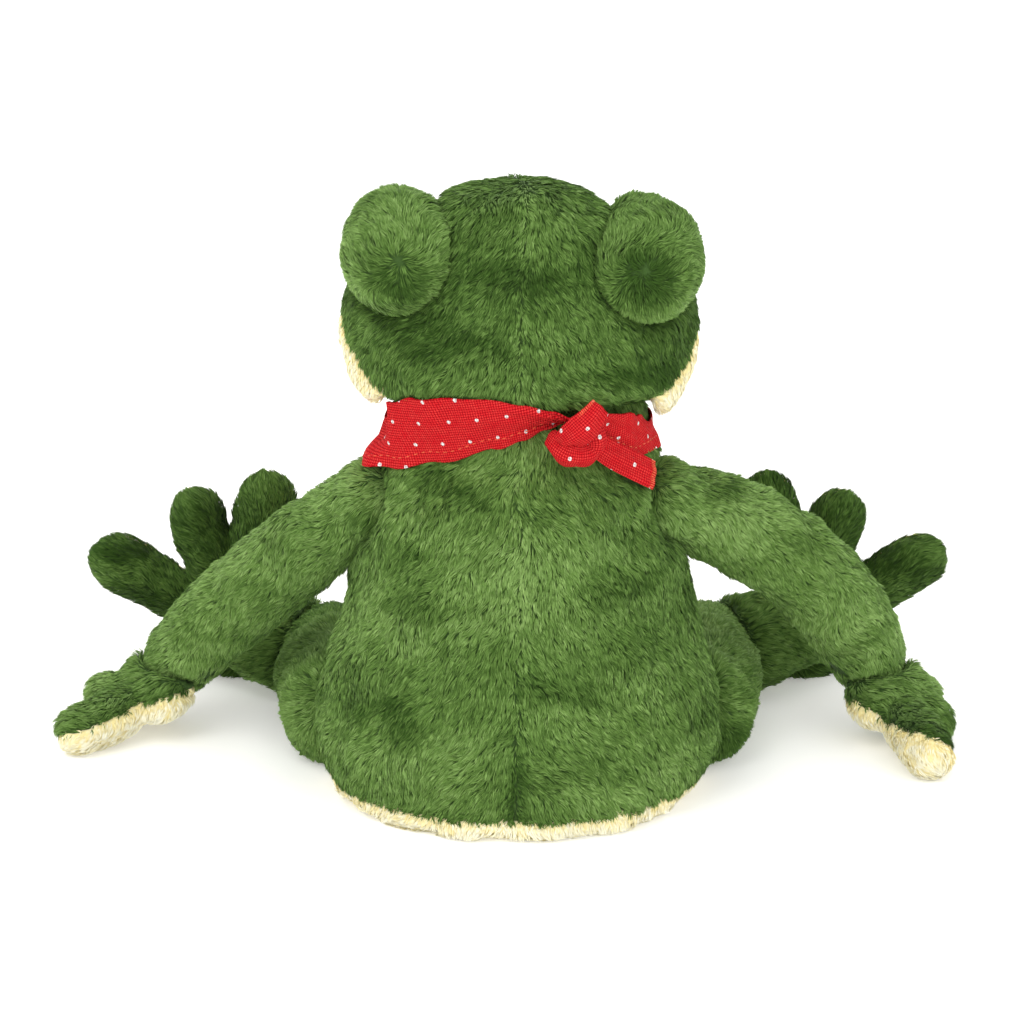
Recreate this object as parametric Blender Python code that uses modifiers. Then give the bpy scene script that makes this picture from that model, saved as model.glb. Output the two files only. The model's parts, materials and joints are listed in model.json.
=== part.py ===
"""A seated plush frog: stuffed body, head and limbs, plastic eyes and a tied kerchief.

Metres, +Z up. The frog faces -Y and sits on the plane z = 0, so its left side is at +X.
The origin is on the flat underside of the seat, in the middle plane.
"""

import math

import bmesh
import bpy
from mathutils import Matrix, Vector
from mathutils.bvhtree import BVHTree

# Fits
FIT_GAP = 0.0003            # clearance between neighbouring solids
WELD = 0.00002              # corners nearer to each other than this are one
COVER_WALL = 0.0022         # pile cloth with its backing
FLAT_DEPTH = 0.0005         # how deep each resting form is cut flat
OVERRUN = 0.030             # how far a cutter runs past what it cuts
REACH = 0.400               # farther than any point of the frog from its middle
SHOULDER_STEPS = 4          # cuts that keep an arm clear of the trunk over its travel
HIP_STEPS = 2               # the same for a thigh
KNEE_STEPS = 1              # the same between two limbs, whose seat is already round

# Lofted forms
WIDE_SIDES = 10             # cage sides of the trunk and the head
LIMB_SIDES = 8              # cage sides of an arm or leg
DIGIT_SIDES = 6             # cage sides of a finger or toe
TURNED_STEPS = 16           # sides of the eyes, washers and their holes
BALL_SIDES = 20             # facets round a shoulder's or hip's ball and its seat
END_DEGREES = (0.0, 36.0, 70.0)   # rings of a round end, from its widest
STEEP = math.radians(20.0)  # a path this near to upright takes its rings' turn from the front

# Trunk
BODY_WIDTH = 0.148
BODY_DEPTH = 0.128
NECK_HEIGHT = 0.158         # the flat on which the head turns
BODY_RING_SHARES = (        # height, width and depth of each ring
    (0.000, 0.86, 0.93),
    (0.018, 0.93, 0.995),
    (0.108, 1.02, 1.035),
    (0.253, 0.97, 0.97),
    (0.449, 0.86, 0.85),
    (0.650, 0.78, 0.73),
    (0.800, 0.69, 0.64),
    (0.920, 0.58, 0.565),
    (1.090, 0.545, 0.54),
)
BELLY_SEAM_SHARES = (       # depth and height of the seam round the cream panel, rear to front
    (0.70, 0.042),
    (0.10, 0.042),
    (-0.16, 0.065),
    (-0.27, 0.150),
    (-0.31, 0.320),
    (-0.29, 0.560),
    (-0.22, 0.800),
    (-0.15, 1.100),
)
POUCH_WIDTH = 0.078
POUCH_DEPTH = 0.066
POUCH_HEIGHT = 0.024
POUCH_ROOM = 0.0010         # clearance round the pouch in the filling
POUCH_RING_SHARES = ((0.0, 0.90), (0.20, 1.04), (0.60, 0.98), (0.90, 0.66), (1.0, 0.30))

# Head
HEAD_WIDTH = 0.131
HEAD_DEPTH = 0.116
HEAD_HEIGHT = 0.092
HEAD_LEAN = math.radians(2.0)   # the head lolls this much to the right
JAW_DROP = 0.020            # how far the jaw hangs below the neck flat
NECK_ROOM = 0.0520          # radius of the hollow under the head for neck and kerchief
HEAD_RING_SHARES = (        # height, width, depth and how far forward, the last of the depth
    (0.000, 0.68, 0.70, 0.086),
    (0.083, 0.85, 0.87, 0.103),
    (0.190, 0.950, 0.970, 0.103),
    (0.320, 1.010, 1.020, 0.108),
    (0.490, 0.970, 0.870, 0.110),
    (0.680, 0.815, 0.540, 0.034),
    (0.844, 0.600, 0.400, 0.009),
    (0.955, 0.360, 0.260, 0.000),
    (1.000, 0.130, 0.120, 0.000),
)
JAW_SEAM_SHARES = (         # depth and height of the seam between green and cream
    (0.280, 0.080),
    (0.180, 0.150),
    (0.060, 0.260),
    (-0.060, 0.335),
    (-0.260, 0.350),
    (-0.480, 0.335),
    (-0.900, 0.310),
)
DOME_RADIUS = 0.0205
DOME_LENGTH = 0.064
DOME_FORWARD = -0.003
DOME_SPREAD = 0.0435        # dome centre from the middle plane
DOME_HEIGHT_SHARE = 0.715
EYE_RADIUS = 0.0085
EYE_HEIGHT = 0.0050
EYE_SEAT = 0.0020           # how deep the eye's back sits in the dome
EYE_TURN = math.radians(30.0)
EYE_ARC_DEGREES = (30.0, 55.0, 75.0)    # points of the eye's profile, from its middle
SHANK_RADIUS = 0.0024
SHANK_LENGTH = 0.0110
WASHER_RADIUS = 0.0080
WASHER_THICKNESS = 0.0018
WASHER_DEPTH = 0.0032       # cloth and filling between eye and washer

# Arms: each wrist's place from its shoulder, and the palm's from its wrist
SHOULDER_SPREAD_SHARE = 0.700
SHOULDER_HEIGHT_SHARE = 0.705
SHOULDER_BACK = 0.004
SHOULDER_BALL = 0.0145
ARM_RADIUS = 0.0145
WRIST_RADIUS = 0.0135
PALM_WIDTH = 0.036
HAND_THICKNESS = 0.0185
FINGER_LENGTH = 0.042
PALM_RISE = 0.0050          # how far the palm's middle stands above the fingertips'
DIGIT_RING_SHARES = ((0.00, 0.90), (0.55, 0.96))
LEFT_ARM_RING_SHARES = ((-0.05, 0.80), (0.10, 1.02), (0.50, 1.05), (0.85, 0.98))
LEFT_WRIST = Vector((0.0750, -0.0575, -0.0845))
LEFT_PALM = Vector((0.0115, 0.0080, 0.0))
LEFT_ARM_BOW = 0.003
LEFT_PALM_ROLL = math.radians(14.0)     # how far the palm turns up towards the body
LEFT_FINGER_ANGLES = (39.0, -42.0, -88.0)       # degrees rearward of straight out
LEFT_FINGER_SHARES = (0.74, 0.50, 0.38)
RIGHT_ARM_RING_SHARES = ((-0.05, 0.80), (0.10, 1.02), (0.50, 1.18), (0.85, 1.08))
RIGHT_WRIST = Vector((0.0800, -0.0540, -0.0835))
RIGHT_PALM = Vector((0.0085, 0.0120, 0.0))
RIGHT_ARM_BOW = 0.011
RIGHT_PALM_ROLL = math.radians(38.0)
RIGHT_FINGER_ANGLES = (72.0, 14.0, -66.0)
RIGHT_FINGER_SHARES = (0.88, 0.32, 0.58)
ARM_LIFT = math.radians(70.0)
HAND_LIFT = math.radians(40.0)

# Legs
HIP_SPREAD_SHARE = 0.90
HIP_FORWARD = 0.022
HIP_BALL = 0.0200
THIGH_RADIUS = 0.0205
THIGH_OUT = 0.004
THIGH_FORWARD = 0.062
THIGH_RING_SHARES = ((-0.10, 0.80), (0.12, 1.02), (0.60, 1.02))
KNEE_RADIUS = 0.0185
SHIN_OUT = 0.039
SHIN_FORWARD = 0.015
SHIN_RADIUS = 0.0172
SHIN_RING_SHARES = ((0.00, 1.04), (0.30, 1.06), (0.62, 0.98))
ANKLE_RADIUS = 0.0125
ANKLE_HEIGHT = 0.021
FOOT_FORWARD = 0.008        # middle of the foot's thickness from the ankle
FOOT_WIDTH = 0.040
FOOT_THICKNESS = 0.0200
FOOT_HEIGHT = 0.042
TOE_RADIUS = 0.0101
TOE_LENGTH = 0.048
TOE_ANGLES = (-16.0, 15.0, 59.0)                # degrees outward of straight up
TOE_SHARES = (1.10, 0.94, 1.04)
THIGH_SWING = math.radians(15.0)
SHIN_SWING = math.radians(30.0)
FOOT_TIP = math.radians(45.0)

# Kerchief
CLOTH_THICKNESS = 0.0012
CLOTH_LIFT = 0.0011         # cloth off the pile cloth below it
CLOTH_COLUMNS = 26
CLOTH_ROWS = 4
KERCHIEF_TOP = 0.1545
KNOT_TURN = math.radians(24.0)      # the knot's place, round to the right of straight back
KERCHIEF_HEM_SHARES = (     # turn from the knot, and height of the lower edge over the top edge's
    (0.000, 0.905),
    (0.060, 0.880),
    (0.130, 0.860),
    (0.220, 0.835),
    (0.300, 0.840),
    (0.420, 0.690),
    (0.530, 0.570),
    (0.640, 0.690),
    (0.760, 0.850),
    (0.880, 0.870),
    (1.000, 0.905),
)
KNOT_HEIGHT = 0.1480
KNOT_RADIUS = 0.0088
KNOT_DEPTH = 0.0190         # across the knot, straight out from the neck
TAIL_WIDTH = 0.0190
TAIL_THICKNESS = 0.0034
UPPER_TAIL_SHARES = (       # turn from the knot, height over the top edge's, distance out, width
    (0.000, 0.960, 0.55, 0.50),
    (-0.006, 1.010, 0.75, 0.60),
    (-0.014, 1.050, 0.95, 0.80),
    (-0.018, 1.085, 1.05, 0.70),
)
LOWER_TAIL_SHARES = (
    (0.000, 0.940, 0.35, 0.50),
    (-0.035, 0.915, 0.26, 0.75),
    (-0.068, 0.885, 0.20, 0.95),
    (-0.100, 0.850, 0.20, 1.05),
    (-0.125, 0.820, 0.22, 0.90),
)

GREEN = (0.105, 0.260, 0.060, 1.0)
CREAM = (0.860, 0.800, 0.560, 1.0)
RED = (0.520, 0.012, 0.022, 1.0)
FIBRE = (0.880, 0.880, 0.860, 1.0)
POUCH = (0.700, 0.680, 0.640, 1.0)
BLACK = (0.012, 0.010, 0.010, 1.0)
WHITE_PLASTIC = (0.800, 0.800, 0.780, 1.0)
PILE_ROUGHNESS = 0.95
CLOTH_ROUGHNESS = 0.85
PLASTIC_ROUGHNESS = 0.15
SMOOTH_ANGLE = math.radians(50.0)

SOLVER = "MANIFOLD"         # the exact solver loses whole pieces among these many near-tangent cuts

UP = Vector((0.0, 0.0, 1.0))
FORWARD = Vector((0.0, -1.0, 0.0))


# Scene and mesh helpers

def clear_scene():
    """Remove every object of the start-up scene."""
    for obj in list(bpy.data.objects):
        bpy.data.objects.remove(obj, do_unlink=True)


def new_collection(name):
    """Make a collection under the scene's own."""
    made = bpy.data.collections.new(name)
    bpy.context.scene.collection.children.link(made)
    return made


def mesh_object(name, bm):
    """Turn a bmesh into an object of the work collection."""
    mesh = bpy.data.meshes.new(name)
    bm.to_mesh(mesh)
    bm.free()
    obj = bpy.data.objects.new(name, mesh)
    WORK.objects.link(obj)
    return obj


def settle(obj):
    """Replace an object's mesh by its evaluated one and drop its modifiers."""
    graph = bpy.context.evaluated_depsgraph_get()
    mesh = bpy.data.meshes.new_from_object(obj.evaluated_get(graph))
    obj.modifiers.clear()
    obj.data = mesh
    return obj


def copy_of(obj, name="copy"):
    """Copy an object with its own mesh."""
    made = bpy.data.objects.new(name, obj.data.copy())
    made.matrix_world = obj.matrix_world.copy()
    WORK.objects.link(made)
    return made


def combine(obj, other, operation, keep=False):
    """Boolean one solid with another, which is used up unless it is kept."""
    modifier = obj.modifiers.new("boolean", "BOOLEAN")
    modifier.operation = operation
    modifier.solver = SOLVER
    modifier.object = other
    settle(obj)
    if not keep:
        bpy.data.objects.remove(other, do_unlink=True)
    return obj


def cut(obj, *cutters, keep=False):
    """Take solids away from a solid."""
    for cutter in cutters:
        combine(obj, cutter, "DIFFERENCE", keep)
    return obj


def join(obj, *others):
    """Unite solids into one."""
    for other in others:
        combine(obj, other, "UNION")
    return obj


def box(low, high):
    """A block between two corners."""
    bm = bmesh.new()
    size = Vector(high) - Vector(low)
    middle = (Vector(high) + Vector(low)) / 2
    matrix = Matrix.Translation(middle) @ Matrix.Diagonal(size.to_4d())
    bmesh.ops.create_cube(bm, size=1.0, matrix=matrix)
    return mesh_object("box", bm)


def ball(centre, radii, sides):
    """An ellipsoid with the given half axes."""
    bm = bmesh.new()
    matrix = Matrix.Translation(centre) @ Matrix.Diagonal(Vector(radii).to_4d())
    bmesh.ops.create_uvsphere(bm, u_segments=sides + sides, v_segments=sides, radius=1.0, matrix=matrix)
    return mesh_object("ball", bm)


def ring_matrix(centre, across, rise, half_width, half_height):
    """Place a unit circle as an ellipse spanned by two directions."""
    normal = across.cross(rise)
    columns = (across * half_width, rise * half_height, normal * max(half_width, half_height))
    turned = Matrix((columns[0], columns[1], columns[2])).transposed()
    return Matrix.Translation(centre) @ turned.to_4x4()


def loft(rings, sides):
    """A smooth closed form through ellipses: a bridged cage with one level of subdivision."""
    fullness = (3 + math.cos(math.tau / sides)) / 4
    unit = Matrix.Diagonal(Vector((1 / fullness, 1 / fullness, 1 / fullness, 1)))
    bm = bmesh.new()
    loops = []
    for ring in rings:
        made = bmesh.ops.create_circle(bm, segments=sides, radius=1.0, matrix=ring @ unit)
        loops.append(list({edge for vert in made["verts"] for edge in vert.link_edges}))
    for lower, upper in zip(loops, loops[1:]):
        bmesh.ops.bridge_loops(bm, edges=lower + upper)
    bmesh.ops.holes_fill(bm, edges=loops[0] + loops[-1], sides=sides)
    bmesh.ops.recalc_face_normals(bm, faces=bm.faces)
    obj = mesh_object("loft", bm)
    smoothing = obj.modifiers.new("smooth", "SUBSURF")
    smoothing.levels = 1
    smoothing.render_levels = 1
    return settle(obj)


def upright_rings(rings):
    """Level ellipses for a standing form, from (centre, half width, half depth)."""
    across = Vector((1.0, 0.0, 0.0))
    return [ring_matrix(centre, across, -FORWARD, wide, deep) for centre, wide, deep in rings]


def tube_rings(stations):
    """Ellipses square to a path, from (centre, half width, half height) along it."""
    rings = []
    centres = [station[0] for station in stations]
    for index, (centre, wide, high) in enumerate(stations):
        before = centres[max(index - 1, 0)]
        after = centres[min(index + 1, len(centres) - 1)]
        along = (after - before).normalized()
        level = UP if abs(along.dot(UP)) < math.cos(STEEP) else FORWARD
        across = along.cross(level).normalized()
        rings.append(ring_matrix(centre, across, across.cross(along), wide, high))
    return rings


def round_end(centre, along, wide, high):
    """Stations of a rounded end beyond a centre."""
    ends = []
    reach = min(wide, high)
    for degrees in END_DEGREES:
        angle = math.radians(degrees)
        point = centre + along.normalized() * (reach * math.sin(angle))
        ends.append((point, wide * math.cos(angle), high * math.cos(angle)))
    return ends


def limb(start, end, radii_shares, radius, end_radius, bow, grown):
    """A tube between two joints with a round far end, `grown` larger all over."""
    along = end - start
    middle_turn = bow - along * (bow.dot(along) / along.length_squared)
    stations = []
    for share, radius_share in radii_shares:
        lift = middle_turn * math.sin(math.pi * share)
        reach = radius * radius_share + grown
        stations.append((start + along * share + lift, reach, reach))
    last = along - middle_turn * math.pi
    stations += round_end(end, last, end_radius + grown, end_radius + grown)
    return loft(tube_rings(stations), LIMB_SIDES)


def turned(profile, place):
    """A turned solid: a profile of (radius, height), outer side downwards, about the Z of `place`."""
    bm = bmesh.new()
    verts = [bm.verts.new((radius, 0.0, height)) for radius, height in profile]
    for first, second in zip(verts, verts[1:]):
        bm.edges.new((first, second))
    if profile[0][0] > 0:
        bm.edges.new((verts[-1], verts[0]))
    obj = mesh_object("turned", bm)
    screw = obj.modifiers.new("turn", "SCREW")
    screw.axis = "Z"
    screw.steps = TURNED_STEPS
    screw.render_steps = TURNED_STEPS
    screw.use_merge_vertices = True
    screw.merge_threshold = FIT_GAP / TURNED_STEPS
    settle(obj)
    obj.data.transform(place)
    return obj


def side_profile(points, half_width, rest):
    """A block with a seam line as its edge: (depth, height) points closed through `rest`."""
    curve = bpy.data.curves.new("profile", "CURVE")
    curve.dimensions = "2D"
    curve.fill_mode = "BOTH"
    curve.extrude = half_width
    outline = list(points) + list(rest)
    spline = curve.splines.new("POLY")
    spline.points.add(len(outline) - 1)
    for point, (depth, height) in zip(spline.points, outline):
        point.co = (depth, height, 0.0, 1.0)
    spline.use_cyclic_u = True
    drawn = bpy.data.objects.new("profile", curve)
    WORK.objects.link(drawn)
    graph = bpy.context.evaluated_depsgraph_get()
    mesh = bpy.data.meshes.new_from_object(drawn.evaluated_get(graph))
    bpy.data.objects.remove(drawn, do_unlink=True)
    obj = bpy.data.objects.new("profile", mesh)
    WORK.objects.link(obj)
    bm = bmesh.new()
    bm.from_mesh(mesh)
    bmesh.ops.remove_doubles(bm, verts=bm.verts, dist=FIT_GAP / TURNED_STEPS)
    standing = Matrix(((0, 0, 1, 0), (1, 0, 0, 0), (0, 1, 0, 0), (0, 0, 0, 1)))
    bmesh.ops.transform(bm, matrix=standing, verts=bm.verts)
    bmesh.ops.recalc_face_normals(bm, faces=bm.faces)
    bm.to_mesh(mesh)
    bm.free()
    return obj


def about(pivot, axis, angle):
    """The turn by an angle about an axis through a pivot."""
    turn = Matrix.Rotation(angle, 4, axis)
    return Matrix.Translation(pivot) @ turn @ Matrix.Translation(-pivot)


def clear_of(piece, carrier, pivot, axis, travel, steps):
    """Cut a moving piece by what carries it, at steps of its travel."""
    for step in range(steps + 1):
        cutter = copy_of(carrier)
        cutter.data.transform(about(pivot, axis, -travel * step / steps))
        cut(piece, cutter)
    bpy.data.objects.remove(carrier, do_unlink=True)
    return piece


def pivot_ball(centre, radius, axis):
    """A ball faceted evenly round the axis that it turns on."""
    bm = bmesh.new()
    turn = axis.to_track_quat("Z", "Y").to_matrix().to_4x4()
    matrix = Matrix.Translation(centre) @ turn @ Matrix.Scale(radius, 4)
    bmesh.ops.create_uvsphere(
        bm, u_segments=BALL_SIDES, v_segments=LIMB_SIDES, radius=1.0, matrix=matrix)
    return mesh_object("pivot", bm)


def pivot_seat(centre, radius, axis):
    """The hollow that such a ball turns in, facet by facet."""
    reach = radius / math.cos(math.pi / BALL_SIDES) + FIT_GAP / 2
    return pivot_ball(centre, reach, axis)


def socket(centre, radius):
    """A ball-shaped cutter that leaves the fit gap round a limb's round end."""
    fullness = math.cos(math.pi / (LIMB_SIDES + LIMB_SIDES)) ** 2
    reach = (radius + FIT_GAP) / fullness
    return ball(centre, (reach, reach, reach), LIMB_SIDES)


def rest_flat(*pieces):
    """Cut resting pieces flat on the ground plane."""
    ground = box((-REACH, -REACH, -OVERRUN), (REACH, REACH, 0.0))
    for piece in pieces:
        cut(piece, ground, keep=True)
    bpy.data.objects.remove(ground, do_unlink=True)


def weld(obj):
    """Merge corners that the cuts left all but touching, so that flat faces triangulate."""
    bm = bmesh.new()
    bm.from_mesh(obj.data)
    bmesh.ops.remove_doubles(bm, verts=bm.verts, dist=WELD)
    bmesh.ops.dissolve_degenerate(bm, edges=bm.edges, dist=WELD)
    bm.to_mesh(obj.data)
    bm.free()


def finished(name, obj, colour, roughness):
    """Name a sub-part, give it its own material and move it to the part's collection."""
    weld(obj)
    obj.name = name
    obj.data.name = name
    material = bpy.data.materials.new(name)
    material.use_nodes = True
    shader = material.node_tree.nodes["Principled BSDF"]
    shader.inputs["Base Color"].default_value = colour
    shader.inputs["Roughness"].default_value = roughness
    shader.inputs["Metallic"].default_value = 0.0
    material.diffuse_color = colour
    obj.data.materials.clear()
    obj.data.materials.append(material)
    obj.data.shade_smooth()
    obj.data.set_sharp_from_angle(angle=SMOOTH_ANGLE)
    WORK.objects.unlink(obj)
    FROG.objects.link(obj)
    return obj


def joint_empty(name, pivot, parent=None):
    """An empty at a joint's pivot, which carries the moving pieces."""
    empty = bpy.data.objects.new(name, None)
    empty.empty_display_size = SHOULDER_BALL
    FROG.objects.link(empty)
    empty.parent = parent
    empty.location = pivot - (parent.matrix_world.translation if parent else Vector())
    bpy.context.view_layer.update()
    return empty


def hang_on(empty, *pieces):
    """Put each piece's origin at a joint's pivot and parent it there."""
    pivot = empty.matrix_world.translation
    for piece in pieces:
        piece.data.transform(Matrix.Translation(-pivot))
        piece.parent = empty


# Trunk

def trunk_form(inset):
    """The stuffed trunk's shape, smaller by `inset` all over."""
    rings = []
    base = inset - FLAT_DEPTH
    for height_share, width_share, depth_share in BODY_RING_SHARES:
        centre = Vector((0.0, 0.0, base + (NECK_HEIGHT - base) * height_share))
        wide = BODY_WIDTH / 2 * width_share - inset
        deep = BODY_DEPTH / 2 * depth_share - inset
        rings.append((centre, wide, deep))
    return loft(upright_rings(rings), WIDE_SIDES)


def above_neck():
    """Everything above the flat on which the head turns."""
    return box((-REACH, -REACH, NECK_HEIGHT - FIT_GAP), (REACH, REACH, REACH))


def belly_cutter(shift):
    """What lies in front of and below the seam round the belly panel."""
    seam = [
        (BODY_DEPTH * depth - shift, NECK_HEIGHT * height - shift)
        for depth, height in BELLY_SEAM_SHARES
    ]
    front = -BODY_DEPTH
    rest = [(front, seam[-1][1]), (front, -OVERRUN), (seam[0][0], -OVERRUN)]
    return side_profile(seam, BODY_WIDTH, rest)


def half_space(side):
    """One side of the centre seam."""
    near = FIT_GAP / 2
    if side > 0:
        return box((near, -REACH, -REACH), (REACH, REACH, REACH))
    return box((-REACH, -REACH, -REACH), (-near, REACH, REACH))


def pouch_form(grown, below):
    """The pellet bag, `grown` larger and run on `below` its flat underside."""
    floor = COVER_WALL + FIT_GAP + FIT_GAP
    rings = []
    if below > 0:
        first = POUCH_RING_SHARES[0][1]
        centre = Vector((0.0, 0.0, floor - below))
        rings.append((centre, POUCH_WIDTH / 2 * first + grown, POUCH_DEPTH / 2 * first + grown))
    for height_share, width_share in POUCH_RING_SHARES:
        centre = Vector((0.0, 0.0, floor + (POUCH_HEIGHT + grown) * height_share))
        wide = POUCH_WIDTH / 2 * width_share + grown
        deep = POUCH_DEPTH / 2 * width_share + grown
        rings.append((centre, wide, deep))
    return loft(upright_rings(rings), LIMB_SIDES)


def trunk_sockets():
    """The round seats of shoulders and hips."""
    seats = []
    for side in (1, -1):
        seats.append(pivot_seat(shoulder_point(side), SHOULDER_BALL, FORWARD))
        seats.append(pivot_seat(hip_point(side), HIP_BALL, UP))
    return seats


def build_trunk():
    """The covers, the belly panel, the filling and the pellet pouch."""
    shell = trunk_form(0.0)
    cut(shell, trunk_form(COVER_WALL), above_neck(), *trunk_sockets())
    panel = copy_of(shell)
    combine(panel, belly_cutter(FIT_GAP), "INTERSECT")
    rest_flat(panel)
    cut(shell, belly_cutter(0.0))
    other = copy_of(shell)
    combine(shell, half_space(1), "INTERSECT")
    combine(other, half_space(-1), "INTERSECT")
    filling = trunk_form(COVER_WALL + FIT_GAP)
    cut(filling, above_neck(), *trunk_sockets(), pouch_form(POUCH_ROOM, OVERRUN))
    finished("body_cover_left", shell, GREEN, PILE_ROUGHNESS)
    finished("body_cover_right", other, GREEN, PILE_ROUGHNESS)
    finished("belly_panel", panel, CREAM, PILE_ROUGHNESS)
    finished("body_filling", filling, FIBRE, PILE_ROUGHNESS)
    finished("pellet_pouch", pouch_form(0.0, 0.0), POUCH, CLOTH_ROUGHNESS)


# Head

def jaw_height():
    """Height of the lowest point of the jaw."""
    return NECK_HEIGHT - JAW_DROP


def lean():
    """The head's lean about the middle of the neck."""
    return about(UP * NECK_HEIGHT, FORWARD, HEAD_LEAN)


def leaning(obj):
    """Lean a piece of the head over."""
    obj.data.transform(lean())
    return obj


def head_form(inset):
    """The stuffed head's shape, smaller by `inset` all over."""
    rings = []
    base = jaw_height() + inset
    height = HEAD_HEIGHT - inset - inset
    for height_share, width_share, depth_share, forward_share in HEAD_RING_SHARES:
        centre = FORWARD * (HEAD_DEPTH * forward_share) + UP * (base + height * height_share)
        wide = HEAD_WIDTH / 2 * width_share - inset
        deep = HEAD_DEPTH / 2 * depth_share - inset
        rings.append((centre, wide, deep))
    return leaning(loft(upright_rings(rings), WIDE_SIDES))


def neck_room():
    """The round hollow under the head."""
    bottom = jaw_height() - OVERRUN
    height = NECK_HEIGHT - bottom
    profile = [(0.0, height), (NECK_ROOM, height), (NECK_ROOM, 0.0), (0.0, 0.0)]
    return turned(profile, Matrix.Translation(UP * bottom))


def jaw_cutter(shift):
    """What lies below and in front of the seam between the green and the cream."""
    base = jaw_height()
    seam = [
        (HEAD_DEPTH * depth - shift, base + HEAD_HEIGHT * height - shift)
        for depth, height in JAW_SEAM_SHARES
    ]
    low = base - OVERRUN
    return leaning(side_profile(seam, HEAD_WIDTH, [(seam[-1][0], low), (seam[0][0], low)]))


def dome_centre(side):
    """Middle of an eye dome."""
    height = jaw_height() + HEAD_HEIGHT * DOME_HEIGHT_SHARE
    return Vector((side * DOME_SPREAD, -DOME_FORWARD, height))


def dome_form(side, grown):
    """The stuffed ball that carries an eye."""
    across = DOME_RADIUS + grown
    return leaning(ball(dome_centre(side), (across, DOME_LENGTH / 2 + grown, across), LIMB_SIDES))


def eye_place(side):
    """Where an eye's back sits: its Z points out of the dome, its zero is on the dome's skin."""
    out = Vector((side * math.sin(EYE_TURN), -math.cos(EYE_TURN), 0.0))
    skin = dome_centre(side) + Vector((DOME_RADIUS * out.x, DOME_LENGTH / 2 * out.y, 0.0))
    normal = Vector((out.x / DOME_RADIUS, out.y / (DOME_LENGTH / 2), 0.0)).normalized()
    return lean() @ Matrix.Translation(skin) @ normal.to_track_quat("Z", "Y").to_matrix().to_4x4()


def eye_hole(side):
    """The seat, bore and washer chamber of an eye, as one turned cutter."""
    seat = EYE_RADIUS + FIT_GAP
    bore = SHANK_RADIUS + FIT_GAP
    chamber = WASHER_RADIUS + FIT_GAP
    top = -EYE_SEAT - FIT_GAP - WASHER_DEPTH
    low = top - WASHER_THICKNESS - FIT_GAP - FIT_GAP
    end = -EYE_SEAT - SHANK_LENGTH - FIT_GAP
    profile = [
        (0.0, OVERRUN),
        (seat, OVERRUN),
        (seat, -EYE_SEAT - FIT_GAP),
        (bore, -EYE_SEAT - FIT_GAP),
        (bore, top),
        (chamber, top),
        (chamber, low),
        (bore, low),
        (bore, end),
        (0.0, end),
    ]
    return turned(profile, eye_place(side))


def eye_form(side):
    """A safety eye: a low dome on a shank."""
    profile = [(0.0, EYE_HEIGHT - EYE_SEAT)]
    for degrees in EYE_ARC_DEGREES:
        angle = math.radians(degrees)
        profile.append((EYE_RADIUS * math.sin(angle), EYE_HEIGHT * math.cos(angle) - EYE_SEAT))
    profile += [
        (EYE_RADIUS, -EYE_SEAT),
        (SHANK_RADIUS, -EYE_SEAT),
        (SHANK_RADIUS, -EYE_SEAT - SHANK_LENGTH),
        (0.0, -EYE_SEAT - SHANK_LENGTH),
    ]
    return turned(profile, eye_place(side))


def washer_form(side):
    """The lock washer that holds an eye's shank inside the dome."""
    inner = SHANK_RADIUS + FIT_GAP
    top = -EYE_SEAT - FIT_GAP - WASHER_DEPTH - FIT_GAP
    low = top - WASHER_THICKNESS
    profile = [(inner, top), (WASHER_RADIUS, top), (WASHER_RADIUS, low), (inner, low)]
    return turned(profile, eye_place(side))


def build_head():
    """The covers, the jaw panel, the filling, the domes, the eyes and their washers."""
    shell = head_form(0.0)
    cut(shell, head_form(COVER_WALL), neck_room(), dome_form(1, FIT_GAP), dome_form(-1, FIT_GAP))
    panel = copy_of(shell)
    combine(panel, jaw_cutter(FIT_GAP), "INTERSECT")
    cut(shell, jaw_cutter(0.0))
    other = copy_of(shell)
    combine(shell, leaning(half_space(1)), "INTERSECT")
    combine(other, leaning(half_space(-1)), "INTERSECT")
    filling = head_form(COVER_WALL + FIT_GAP)
    cut(filling, neck_room(), dome_form(1, FIT_GAP), dome_form(-1, FIT_GAP))
    pieces = [
        finished("head_cover_left", shell, GREEN, PILE_ROUGHNESS),
        finished("head_cover_right", other, GREEN, PILE_ROUGHNESS),
        finished("jaw_panel", panel, CREAM, PILE_ROUGHNESS),
        finished("head_filling", filling, FIBRE, PILE_ROUGHNESS),
    ]
    for side, word in ((1, "left"), (-1, "right")):
        dome = cut(dome_form(side, 0.0), eye_hole(side))
        pieces.append(finished(word + "_eye_dome", dome, GREEN, PILE_ROUGHNESS))
        pieces.append(finished(word + "_eye", eye_form(side), BLACK, PLASTIC_ROUGHNESS))
        washer = washer_form(side)
        pieces.append(finished(word + "_eye_washer", washer, WHITE_PLASTIC, CLOTH_ROUGHNESS))
    hang_on(joint_empty("neck_joint", UP * NECK_HEIGHT), *pieces)


# Arms

def mirrored(vector, side):
    """A vector given for the left side, on either side."""
    return Vector((vector.x * side, vector.y, vector.z))


def shoulder_point(side):
    """Middle of a shoulder's ball."""
    spread = BODY_WIDTH / 2 * SHOULDER_SPREAD_SHARE
    return Vector((side * spread, SHOULDER_BACK, NECK_HEIGHT * SHOULDER_HEIGHT_SHARE))


def arm_form(side, wrist, bow, shares, grown):
    """An arm from inside the shoulder to the round end at the wrist."""
    start = shoulder_point(side)
    end = start + mirrored(wrist, side)
    arch = Vector((side * bow, 0.0, bow))
    return limb(start, end, shares, ARM_RADIUS, WRIST_RADIUS, arch, grown)


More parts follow.
